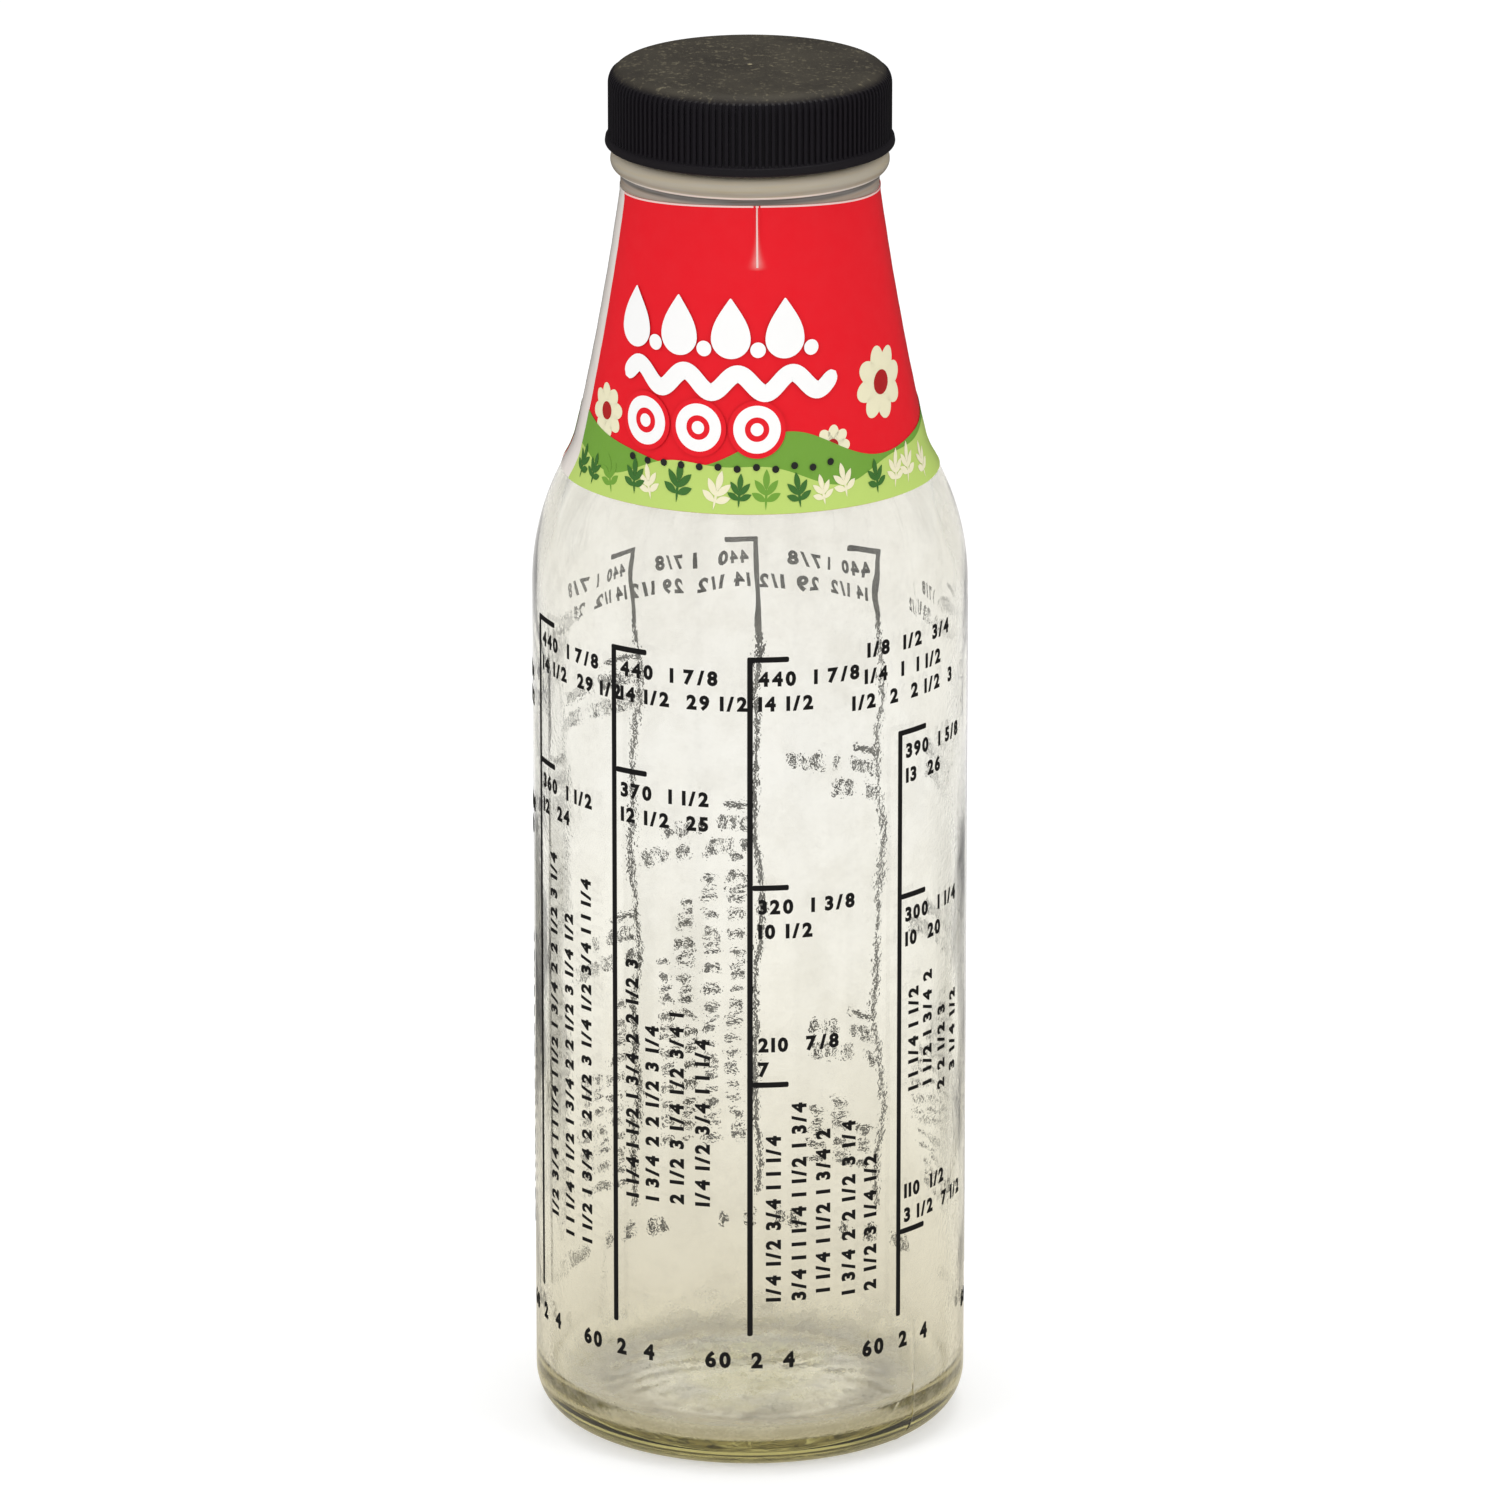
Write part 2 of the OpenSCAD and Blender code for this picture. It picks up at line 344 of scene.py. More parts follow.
def new_material(name, values):
    """A material with one Principled shader that has these values. Returns the material, its tree and the shader."""
    material = bpy.data.materials.new(name)
    material.use_nodes = True
    tree = material.node_tree
    shader = tree.nodes["Principled BSDF"]
    for key, value in values.items():
        shader.inputs[key].default_value = value
    return material, tree, shader


def noise(tree, where, scale, detail=2.0, roughness=0.5):
    """A noise pattern with that many cells a metre."""
    return add_node(tree, "ShaderNodeTexNoise", {"Vector": where, "Scale": scale, "Detail": detail,
                                                 "Roughness": roughness}).outputs["Fac"]


def bumped(tree, shader, height, distance, strength=1.0):
    """Bump on the shader's normal, from a height between 0 and 1 times a distance in metres."""
    bump = add_node(tree, "ShaderNodeBump", {"Height": height, "Distance": distance, "Strength": strength})
    tree.links.new(bump.outputs["Normal"], shader.inputs["Normal"])


def object_place(tree):
    """The point's own place in the frame."""
    return add_node(tree, "ShaderNodeTexCoord").outputs["Object"]


BEAD_ZONE = 0.2055, 0.2125
# Tones of the bead zone by height in mm over the bead's lower edge: painted shade just under the bead (-0.6 to 0.2), a
# painted highlight along its lower edge (0.36 to 0.62), beige streaks elsewhere.
BEAD_TONES_WITH_PAINTED_LIGHT = ((-2.0, 0.36, 0.27, 0.18), (-1.0, 0.34, 0.25, 0.17), (-0.6, 0.09, 0.07, 0.05), (0.2, 0.09, 0.07, 0.05),
              (0.36, 1.0, 0.91, 0.78), (0.62, 1.0, 0.91, 0.78), (0.78, 0.44, 0.36, 0.24), (1.2, 0.33, 0.26, 0.165),
              (1.8, 0.43, 0.36, 0.24), (3.4, 0.6, 0.51, 0.36))
# Tones of the clouded floor by radius in mm, each with its share: greenish in the middle, a ring of painted highlight
# from 13.5 to 17.5 mm, a ring of painted shade from 20 to 23.5 mm, pale at the heel.
FLOOR_TONES_AND_PAINTED_RINGS = ((0.0, 0.8, 0.76, 0.32, 0.25), (10.5, 0.86, 0.8, 0.42, 0.2), (13.5, 1.0, 0.97, 0.88, 0.3),
               (17.5, 1.0, 0.97, 0.89, 0.3), (20.0, 0.5, 0.44, 0.34, 0.36), (23.5, 0.48, 0.43, 0.33, 0.36),
               (27.0, 0.98, 0.9, 0.78, 0.15), (33.0, 0.97, 0.91, 0.78, 0.0))


def tone_ramp(tree, value, start, end, stops):
    """A ramp between colours at places from start to end in millimetres, each with its alpha or none."""
    place = add_node(tree, "ShaderNodeMapRange", {
        "Value": value, "From Min": start * MM, "From Max": end * MM}).outputs[0]
    ramp = add_node(tree, "ShaderNodeValToRGB", {"Fac": place})
    for at, *tone in stops[1:-1]:
        ramp.color_ramp.elements.new((at - start) / (end - start)).color = (*tone, 1)[:4]
    for element, (at, *tone) in ((ramp.color_ramp.elements[0], stops[0]), (ramp.color_ramp.elements[-1], stops[-1])):
        element.position = (at - start) / (end - start)
        element.color = (*tone, 1)[:4]
    return ramp.outputs


def glass_material(g):
    """Clear container glass: faint warm green where it is thick, pebbled on the inside of the wall, clouded on the
    floor in tones with a ring of painted highlight and a ring of painted shade, and worn milky in fine level streaks
    on the bead and the neck under it, with a painted highlight along the bead's lower edge and painted shade under it."""
    material, tree, shader = new_material("clear_glass", {
        "Base Color": (1, 1, 1, 1), "Transmission Weight": 1.0, "Roughness": 0.0, "IOR": 1.51})
    where = object_place(tree)
    inside = add_node(tree, "ShaderNodeAttribute", attribute_name="pebbled").outputs["Fac"]
    pebbles = noise(tree, where, 1150.0, 2.0)
    bumped(tree, shader, sum_of(tree, "MULTIPLY", pebbles, inside), 0.02 * MM)
    level = add_node(tree, "ShaderNodeSeparateXYZ", {0: where}).outputs["Z"]
    below = add_node(tree, "ShaderNodeMapRange", {
        "Value": level, "From Min": BEAD_ZONE[0], "From Max": BEAD_ZONE[0] + 1 * MM}).outputs[0]
    above = add_node(tree, "ShaderNodeMapRange", {
        "Value": level, "From Min": BEAD_ZONE[1], "From Max": BEAD_ZONE[1] + 1 * MM,
        "To Min": 1.0, "To Max": 0.0}).outputs[0]
    # Mask of the bead zone: milky wear streaks, which also carry the bead's painted highlight and painted shade.
    wear_and_painted_light = sum_of(tree, "MULTIPLY", below, above)
    level_place = add_node(tree, "ShaderNodeVectorMath", {0: where, 1: (0.05, 0.05, 1)}, operation="MULTIPLY").outputs[0]
    streaks = sum_of(tree, "MULTIPLY_ADD", noise(tree, level_place, 1900.0, 3.0), 0.5, 0.6)
    over_corner = sum_of(tree, "SUBTRACT", level, bead_height(g) - g.bead_round)
    # Painted highlight and painted shade on the bead, by height over its lower edge.
    bead_tone_and_painted_light = tone_ramp(tree, over_corner, -2.0, 4.0, BEAD_TONES_WITH_PAINTED_LIGHT)[0]
    flat = add_node(tree, "ShaderNodeVectorMath", {0: where, 1: (1, 1, 0)}, operation="MULTIPLY").outputs[0]
    radius = add_node(tree, "ShaderNodeVectorMath", {0: flat}, operation="LENGTH").outputs["Value"]
    # The floor's tone paints a light ring and a shaded ring into its cloud.
    floor_tone_and_painted_rings, floor_haze_and_painted_ring_share = tone_ramp(tree, radius, 0.0, 33.0, FLOOR_TONES_AND_PAINTED_RINGS)
    clouded = add_node(tree, "ShaderNodeAttribute", attribute_name="clouded").outputs["Fac"]
    cloud = add_node(tree, "ShaderNodeMapRange", {
        "Value": noise(tree, where, 150.0, 6.0, 0.7), "From Min": 0.42, "From Max": 0.66, "To Max": 0.45},
        interpolation_type="SMOOTHSTEP").outputs[0]
    uneven = sum_of(tree, "MULTIPLY_ADD", noise(tree, where, 230.0, 5.0, 0.7), 1.6, 0.2)
    cloud = sum_of(tree, "MULTIPLY_ADD", floor_haze_and_painted_ring_share, uneven, cloud)
    smudge = add_node(tree, "ShaderNodeMapRange", {
        "Value": noise(tree, where, 420.0, 5.0, 0.75), "From Min": 0.54, "From Max": 0.66}).outputs[0]
    milky = sum_of(tree, "MULTIPLY_ADD", cloud, clouded, sum_of(tree, "MULTIPLY", wear_and_painted_light, streaks))
    tree.links.new(sum_of(tree, "SUBTRACT", 1.0, milky), shader.inputs["Transmission Weight"])
    pale = add_node(tree, "ShaderNodeMix", {0: wear_and_painted_light, 6: floor_tone_and_painted_rings, 7: bead_tone_and_painted_light}, data_type="RGBA").outputs[2]
    film = add_node(tree, "ShaderNodeMix", {0: sum_of(tree, "MULTIPLY", smudge, clouded), 6: pale,
                                            7: (0.14, 0.13, 0.06, 1)}, data_type="RGBA").outputs[2]
    tone = add_node(tree, "ShaderNodeMix", {0: milky, 6: (1, 1, 1, 1), 7: film}, data_type="RGBA").outputs[2]
    tree.links.new(tone, shader.inputs["Base Color"])
    tree.links.new(sum_of(tree, "MULTIPLY", wear_and_painted_light, 0.18), shader.inputs["Roughness"])
    density = 100.0
    left = [1 + math.log(c) / (0.01 * density) for c in g.tint]
    volume = add_node(tree, "ShaderNodeVolumeAbsorption", {"Color": (*left, 1), "Density": density})
    tree.links.new(volume.outputs[0], tree.nodes["Material Output"].inputs["Volume"])
    return material


def cap_material(c):
    """Black moulded plastic: a dull, fine grained and slightly dusty top, whose lighter tone is also a painted sheen of
    the light from above, and smoother ribs and band, with a faint painted sheen on the band.
    """
    material, tree, shader = new_material("cap_plastic", {"IOR": 1.45, "Specular IOR Level": 0.4})
    where = object_place(tree)
    height = add_node(tree, "ShaderNodeSeparateXYZ", {0: where}).outputs["Z"]
    # Mask of the top: its lighter tone is partly real dust and specks and partly a painted sheen of the light from
    # above.
    top = add_node(tree, "ShaderNodeMapRange", {
        "Value": height, "From Min": CAP_HIGH.z - 1.5 * MM, "From Max": CAP_HIGH.z - 0.3 * MM},
        interpolation_type="SMOOTHSTEP").outputs[0]
    grain = noise(tree, where, 2600.0, 3.0, 0.6)
    patches = noise(tree, where, 90.0, 3.0)
    speck = add_node(tree, "ShaderNodeMapRange", {
        "Value": noise(tree, where, 1000.0, 3.0, 0.7), "From Min": 0.56, "From Max": 0.7}).outputs[0]
    dust_and_sheen_share = sum_of(tree, "MULTIPLY_ADD", speck, 2.2, sum_of(tree, "MULTIPLY_ADD", patches, 1.2, 0.28))
    middle = add_node(tree, "ShaderNodeVectorMath", {0: where, 1: (1, 1, 0)}, operation="MULTIPLY").outputs[0]
    gate = add_node(tree, "ShaderNodeVectorMath", {0: middle}, operation="LENGTH").outputs["Value"]
    dust_and_sheen_share = sum_of(tree, "MULTIPLY_ADD", sum_of(tree, "LESS_THAN", gate, GATE_NUB), 5.0, dust_and_sheen_share)
    # A faint painted sheen on the band.
    band = add_node(tree, "ShaderNodeMapRange", {
        "Value": height, "From Min": CAP_FOOT + c.band - 0.5 * MM, "From Max": CAP_FOOT + c.band,
        "To Min": 0.04, "To Max": 0.0}).outputs[0]
    dust_and_sheen_share = sum_of(tree, "MULTIPLY_ADD", dust_and_sheen_share, top, band)
    tone = add_node(tree, "ShaderNodeMix", {0: dust_and_sheen_share, 6: (*c.plastic, 1), 7: (*c.dust_and_sheen, 1)},
                    data_type="RGBA", clamp_factor=False).outputs[2]
    tree.links.new(tone, shader.inputs["Base Color"])
    rough = add_node(tree, "ShaderNodeMapRange", {"Value": top, "To Min": 0.36, "To Max": 0.55}).outputs[0]
    rough = sum_of(tree, "MULTIPLY_ADD", patches, 0.1, rough)
    tree.links.new(rough, shader.inputs["Roughness"])
    depth = add_node(tree, "ShaderNodeMapRange", {"Value": top, "To Min": 0.25, "To Max": 1.0}).outputs[0]
    bumped(tree, shader, sum_of(tree, "MULTIPLY", grain, depth), 0.05 * MM)
    return material


def foam_material():
    """White closed-cell foam with fine pores."""
    material, tree, shader = new_material("liner_foam", {
        "Base Color": (0.84, 0.83, 0.78, 1), "Roughness": 0.7, "Subsurface Weight": 0.2,
        "Subsurface Radius": (0.002, 0.002, 0.002), "Subsurface Scale": 1.0})
    pores = add_node(tree, "ShaderNodeTexVoronoi", {"Vector": object_place(tree), "Scale": 2200.0})
    bumped(tree, shader, pores.outputs["Distance"], 0.08 * MM)
    return material


def film_material(name, tone, roughness=0.22, pucker_highlight=None):
    """Printed shrink film: one colour, a little uneven, under a glossy film with the slight waves of a shrunk
    sleeve. Given a second colour, the film shows it as a painted highlight by the attribute of that name."""
    material, tree, shader = new_material(name, {
        "Base Color": (*tone, 1), "Roughness": roughness, "Specular IOR Level": 0.22})
    where = object_place(tree)
    bumped(tree, shader, noise(tree, where, 160.0, 2.0), 0.12 * MM)
    wear_and_painted_light = sum_of(tree, "MULTIPLY", noise(tree, where, 350.0, 4.0, 0.6), 0.015)
    pale = (0.85, 0.84, 0.82)
    if pucker_highlight:
        pale = pucker_highlight
        wear_and_painted_light = sum_of(tree, "ADD", wear_and_painted_light, add_node(tree, "ShaderNodeAttribute", attribute_name="pucker_highlight").outputs["Fac"])
    mixed = add_node(tree, "ShaderNodeMix", {0: wear_and_painted_light, 6: (*tone, 1), 7: (*pale, 1)}, data_type="RGBA").outputs[2]
    tree.links.new(mixed, shader.inputs["Base Color"])
    return material


def ink_material(s):
    """Black ink fired onto the glass, a little uneven."""
    material, tree, shader = new_material("fired_ink", {"Base Color": (*s.ink, 1), "Roughness": 0.42})
    where = object_place(tree)
    rough = sum_of(tree, "MULTIPLY_ADD", noise(tree, where, 700.0), 0.2, 0.32)
    tree.links.new(rough, shader.inputs["Roughness"])
    bumped(tree, shader, noise(tree, where, 1500.0, 3.0), 0.03 * MM)
    return material


# Glass

SEAMS = (49.0, 229.0)
SEAM_WIDTH = 0.12 * MM
SEAM_RISE = 0.13 * MM
THREAD_TURNS = 1.25
THREAD_PITCH = 4.233 * MM
THREAD_RISE = 1.2 * MM
THREAD_FOOT = 1.15 * MM
THREAD_CREST = 0.5 * MM
THREAD_START = MOUTH - 1.9 * MM - THREAD_TURNS * THREAD_PITCH
THREAD_RUN_OUT = 0.12
LIP = 1.0 * MM
LIP_INNER = 0.7 * MM
THROAT = 5 * MM
FLOOR_DOME = 1.6 * MM
FLOOR_FLAT = 14 * MM
WALL_CLOUD = 0.2


def thread_height(z, angle, start, turns, pitch, foot, crest):
    """Share of a thread's full height, from 0 to 1, at height z and angle in radians: a trapezoid across the
    helix start + pitch * angle / 2 pi, that fades in and out over the same share of its length at each end."""
    height = np.zeros(np.broadcast(z, angle).shape)
    for lap in range(int(math.ceil(turns)) + 1):
        turn = angle / (2 * math.pi) + lap
        along = turn / turns
        grown = np.clip(np.minimum(along, 1 - along) / THREAD_RUN_OUT, 0, 1)
        across = np.clip((foot - np.abs(z - start - pitch * turn)) / (foot - crest), 0, 1)
        height = np.maximum(height, grown * across)
    return height * height * (3 - 2 * height)


def bottle_angles():
    """Angles of the glass's columns in radians: even steps, and close ones on both sides of each mould seam."""
    even = np.arange(0, 360, 360 / 208)
    near = [FRONT + s + np.degrees(SEAM_WIDTH / CAP_BODY_RADIUS) * np.arange(-2.5, 2.6, 1) for s in SEAMS]
    close = np.concatenate(near) % 360
    even = even[np.min(np.abs(even[:, None] - close[None, :]), 1) > 0.4]
    return np.radians(np.sort(np.concatenate([even, close])))


def bottle_profile(g):
    """The glass's outline from the middle of the underside, up the outside, over the lip and down the inside
    to the middle of the floor. Returns the points and, for each, 1 on the inner wall and 0 elsewhere."""
    centre, radius, end = shoulder_arc(g)
    bead_z = bead_height(g)
    bead_c = g.bead - g.bead_round
    bead_low = -math.degrees(math.acos((g.neck_radius - bead_c) / g.bead_round))
    ring_r = CAP_BODY_RADIUS - g.heel - g.ring
    inner_r = CAP_BODY_RADIUS - g.wall
    floor_r = inner_r - g.inner_heel
    floor_z = g.push_up + g.floor - FLOOR_DOME
    z_out = np.linspace(g.kink, flare_top(g), 25)
    z_in = np.linspace(flare_top(g) - THROAT, g.kink, 25)
    share = np.linspace(0, 1, 24)
    under = np.stack([ring_r * share, g.push_up * (1 - share ** 2)], 1)
    fall = np.clip((floor_r * share[::-1] - FLOOR_FLAT) / (floor_r - FLOOR_FLAT - 3 * MM), 0, 1)
    floor = np.stack([floor_r * share[::-1], floor_z + FLOOR_DOME * (1 - fall ** 2 * (3 - 2 * fall))], 1)
    outside = joined(
        under,
        line((ring_r, 0), (CAP_BODY_RADIUS - g.heel, 0), 4),
        arc((CAP_BODY_RADIUS - g.heel, g.heel), g.heel, -90, 0, 18),
        line((CAP_BODY_RADIUS, g.heel), (CAP_BODY_RADIUS, g.shoulder), 60),
        arc(centre, radius, 0, end, 22),
        np.stack([flare_radius(g, z_out), z_out], 1),
        arc((bead_c, bead_z), g.bead_round, bead_low, 90, 18),
        line((g.finish, bead_z + g.bead_round + 0.3 * MM), (g.finish, MOUTH - LIP), 40),
        arc((g.finish - LIP, MOUTH - LIP), LIP, 0, 90, 8))
    inside = joined(
        arc((g.bore + LIP_INNER, MOUTH - LIP_INNER), LIP_INNER, 90, 180, 6),
        line((g.bore, MOUTH - LIP_INNER), (g.bore, bead_z - g.bead_round), 10),
        np.stack([flare_radius(g, z_in) - g.wall, z_in], 1),
        arc(centre, radius - g.wall, end, 0, 20),
        line((inner_r, g.shoulder), (inner_r, floor_z + g.inner_heel), 90),
        arc((floor_r, floor_z + g.inner_heel), g.inner_heel, 0, -90, 16),
        floor)
    return np.concatenate([outside, inside]), np.r_[np.zeros(len(outside)), np.ones(len(inside))]


RINGS = ((131, 3.5, 31, 0.4, 0.11), (97, 3.0, 27, 1.9, 0.07), (58, 4.0, 34, 5.0, 0.06), (78, 2.5, 22, 2.9, 0.06))
RIPPLE = ((0.1, 7, 58, 0.3), (0.075, 11, -37, 1.7), (0.045, 16, 23, 4.1), (0.016, 24, -12, 2.2), (0.008, 37, 7, 0.9))


def ripple(z, angle):
    """Slow waves of a blown inner wall in metres: a sum of sines that each have a depth in mm, a number of waves
    round the bottle and a wavelength in mm along it, and rings of closer waves at four heights, each with its
    height and width in mm, its waves, their phase and their depth in mm."""
    slow = sum(depth * np.sin(n * angle + z / (rise * MM) * 2 * math.pi + p) for depth, n, rise, p in RIPPLE)
    close = sum(depth * np.exp(-((z / MM - at) / wide) ** 2) * np.sin(n * angle + p) * np.sin(z / MM * 1.3 + p)
                for at, wide, n, p, depth in RINGS)
    return (slow + close) * MM


def mottle(x, y):
    """The uneven skin of a pressed floor, between -1 and 1: a sum of sines along five directions."""
    waves = [(0.2, 7.0, 0.4), (1.1, 5.0, 2.0), (1.9, 4.1, 4.4), (2.6, 5.8, 1.2), (0.7, 3.4, 3.1)]
    total = sum(np.sin((x * math.cos(d) + y * math.sin(d)) * 2 * math.pi / (w * MM) + p) for d, w, p in waves)
    return total / len(waves)


def glass_bottle(g):
    """The glass: its outline turned about the axis, with the thread, two mould seams and a rippled inner wall
    added to the radius."""
    profile, inner = bottle_profile(g)
    angle = bottle_angles()
    r = np.repeat(profile[:, :1], len(angle), 1)
    z = np.repeat(profile[:, 1:], len(angle), 1)
    on_finish = (np.abs(r - g.finish) < 0.01 * MM) & (inner[:, None] == 0)
    r = r + on_finish * THREAD_RISE * thread_height(
        z, angle[None, :], THREAD_START, THREAD_TURNS, THREAD_PITCH, THREAD_FOOT, THREAD_CREST)
    bead_z = bead_height(g)
    for seam in SEAMS:
        away = (np.degrees(angle) - FRONT - seam + 180) % 360 - 180
        across = np.exp(-(np.radians(away) * CAP_BODY_RADIUS / SEAM_WIDTH) ** 2)
        share = np.clip((21 * MM - z) / (6 * MM), 0, 1) * (1 + 0.6 * np.sin(z / MM * 2.1)) + 0.2 * (z > g.shoulder)
        r = r + (inner[:, None] == 0) * (z > 1 * MM) * (z < bead_z) * SEAM_RISE * share * across[None, :]
    walls = np.clip((z - 20 * MM) / (10 * MM), 0, 1) * np.clip((g.kink - z) / (10 * MM), 0, 1)
    r = r + (inner[:, None] == 1) * (r > 0.02) * walls * g.ripple * ripple(z, angle[None, :])
    floor = (z < 12 * MM) & (r < 0.026) & ((inner[:, None] == 1) | (r < 0.022))
    fade = np.clip((0.026 - r) / (4 * MM), 0, 1)
    uneven = mottle(r * np.cos(angle), r * np.sin(angle)) * np.where(inner[:, None] == 1, 0.13, -0.08) * MM
    z = z + floor * fade * uneven * (r > 0)
    thing = lathed("glass_bottle_clear", r, z, angle)
    high = profile[:, 1]
    pebbled = inner * np.clip((g.shoulder + 2 * MM - high) / (4 * MM), 0.03, 1)
    clouded = inner * np.maximum(np.clip((14 * MM - high) / (8 * MM), 0, 1), WALL_CLOUD)
    for name, values in (("pebbled", pebbled), ("clouded", clouded * (high < g.kink))):
        point_values(thing, name, np.r_[np.repeat(values[1:-1], len(angle)), values[0], values[-1]])
    return thing


# Cap and liner

RIB_STATIONS = (-0.29, -0.215, -0.08, 0.08, 0.215, 0.29, 0.5)
RIB_LANDS = (0, 1, 1, 1, 1, 0, 0)
RIB_END = 1.25 * MM
BODY_EDGE = 2.6 * MM
BAND_EDGE = 0.5 * MM
BAND_TAPER = 0.9 * MM
GATE_RADIUS = 1.2 * MM
GATE_NUB = 0.42 * MM
CAP_THREAD_RISE = 1.1 * MM
CAP_THREAD_LEAD = 2.0867 * MM


def screw_cap(c):
    """The cap: its outline turned about the axis, with the thread's ridge inside. Above the band the radius at
    each angle lies between the cap's plain body and its outline, by the rib's height there, up to the ribs' blunt
    ends."""
    step = 2 * math.pi / c.ribs
    angle = (np.arange(c.ribs)[:, None] + np.array(RIB_STATIONS)[None, :]).ravel() * step
    land = np.tile(np.array(RIB_LANDS, float), c.ribs)
    base = CAP_FOOT
    top = CAP_HIGH.z
    band_r = CAP_HIGH.x
    ceiling = top - c.top
    middle = (c.radius - c.edge, top - c.edge)
    inside = joined(
        line((0, ceiling), (c.bore - 0.6 * MM, ceiling), 6),
        arc((c.bore - 0.6 * MM, ceiling - 0.6 * MM), 0.6 * MM, 90, 0, 3),
        line((c.bore, ceiling - 0.6 * MM), (c.bore, base + 0.2 * MM), 24))
    outside = joined(
        line((c.bore + 0.2 * MM, base), (band_r - BAND_EDGE, base), 1),
        arc((band_r - BAND_EDGE, base + BAND_EDGE), BAND_EDGE, -90, 0, 5),
        line((band_r, base + BAND_EDGE), (band_r, base + c.band - BAND_TAPER), 2),
        arc((c.radius, base + c.band - BAND_TAPER), BAND_TAPER, 45, 90, 3) * [0, 1]
        + np.array([[band_r - 0.1 * MM, 0], [band_r - 0.25 * MM, 0], [c.radius + 0.1 * MM, 0], [c.radius, 0]]),
        line((c.radius, base + c.band), (c.radius, base + c.band + 0.5 * MM), 2),
        line((c.radius, base + c.band + 0.5 * MM), (c.radius, top - c.edge), 3),
        arc(middle, c.edge, 0, 30, 5),
        arc(middle, c.edge, 30, 39, 5),
        arc(middle, c.edge, 39, 90, 9),
        line((c.radius - c.edge, top), (3 * MM, top), 8),
        np.array([[2 * MM, top], [GATE_RADIUS + 0.2 * MM, top - 0.02 * MM], [GATE_RADIUS, top - 0.12 * MM],
                  [GATE_RADIUS - 0.15 * MM, top - 0.2 * MM], [GATE_NUB + 0.1 * MM, top - 0.2 * MM],
                  [GATE_NUB, top - 0.05 * MM], [GATE_NUB / 2, top], [0, top]]))
    profile = np.concatenate([inside, outside])
    r = np.repeat(profile[:, :1], len(angle), 1)
    z = np.repeat(profile[:, 1:], len(angle), 1)
    is_outside = (np.arange(len(profile)) >= len(inside))[:, None]
    above_band = np.clip((z - base - c.band) / (0.35 * MM), 0, 1)
    ends = np.clip((top - RIB_END + 0.12 * MM - z) / (0.24 * MM), 0, 1)
    rib = np.maximum(land[None, :] * ends, 1 - above_band)
    rise = np.maximum(z - top + BODY_EDGE, 0)
    body = c.radius - c.depth - BODY_EDGE + np.sqrt(np.maximum(BODY_EDGE ** 2 - rise ** 2, 0))
    on_skirt = is_outside & (z > base + c.band - 0.01 * MM)
    r = np.where(on_skirt, np.minimum(r, body) + np.maximum(r - body, 0) * rib, r)
    start = THREAD_START - CAP_THREAD_LEAD
    ridge = thread_height(z, angle[None, :], start, THREAD_TURNS, THREAD_PITCH, THREAD_FOOT, THREAD_CREST)
    r = r - (~is_outside) * (np.abs(r - c.bore) < 0.01 * MM) * CAP_THREAD_RISE * ridge
    return lathed("screw_cap_ribbed", r, z, angle)


LIP_DENT = 0.12 * MM


def cap_liner():
    """The foam liner: a disc with soft edges and, in its underside, the dent that the glass lip leaves, whose
    depth is a bell curve across the lip."""
    radius = LINER_HIGH.x
    lip = (GlassShape.__annotations__["bore"].keywords["default"] + LIP_INNER + 0.6 * MM)
    low = LINER_LOW.z
    high = LINER_HIGH.z
    soft = 0.25 * MM
    under = line((0, low), (radius - soft, low), 60)
    under[:, 1] += LIP_DENT * np.exp(-((under[:, 0] - lip) / (0.7 * MM)) ** 2)
    profile = joined(
        under,
        arc((radius - soft, low + soft), soft, -90, 0, 4),
        arc((radius - soft, high - soft), soft, 0, 90, 4),
        line((radius - soft, high), (0, high), 6))
    angle = np.radians(np.arange(0, 360, 3))
    r = np.repeat(profile[:, :1], len(angle), 1)
    z = np.repeat(profile[:, 1:], len(angle), 1)
    return lathed("cap_liner_foam", r, z, angle)


# Label

LABEL_GAP = 0.04 * MM
LABEL_BACKING = 0.025 * MM
LABEL_WAVE = 0.04 * MM
TOP_WAVE = 0.8 * MM
SLIT_PLACE = math.radians(3.0)
SLIT_LOW = LABEL_HIGH.z - 8.8 * MM
LAYER = 0.03 * MM
LABEL_RISE = 0.15 * MM
CLEAR_WIDTH = math.radians(24.0)


def label_top(angle):
    """Height of the label's upper edge at an angle from the front: its mean plus a cosine of two waves."""
    return LABEL_HIGH.z + LABEL_RISE + TOP_WAVE * np.cos(2 * angle)


def label_lift(angle, z):
    """How far the label stands off the glass: slow waves, two lips along the slit at the front, which fade out
    below it, and a small peak under its end."""
    wave = LABEL_WAVE * (0.5 + 0.5 * np.sin(5 * angle + 900 * z) * np.sin(9 * angle - 400 * z + 1.0))
    away = (angle - SLIT_PLACE) * 21 * MM
    open_share = np.clip((z - SLIT_LOW) / (1.5 * MM), 0, 1)
    lips = np.exp(-((np.abs(away) - 0.36 * MM) / (0.2 * MM)) ** 2) * open_share * 0.2 * MM
    reach = np.clip((z - SLIT_LOW + 3.2 * MM) / (4 * MM), 0.02, 1)
    peak = np.exp(-(away / (1.1 * MM * reach)) ** 2 - ((z - SLIT_LOW + 0.4 * MM) / (1.6 * MM)) ** 2) * 0.22 * MM
    return LABEL_GAP + wave + lips + peak * (z < SLIT_LOW + 3 * MM)


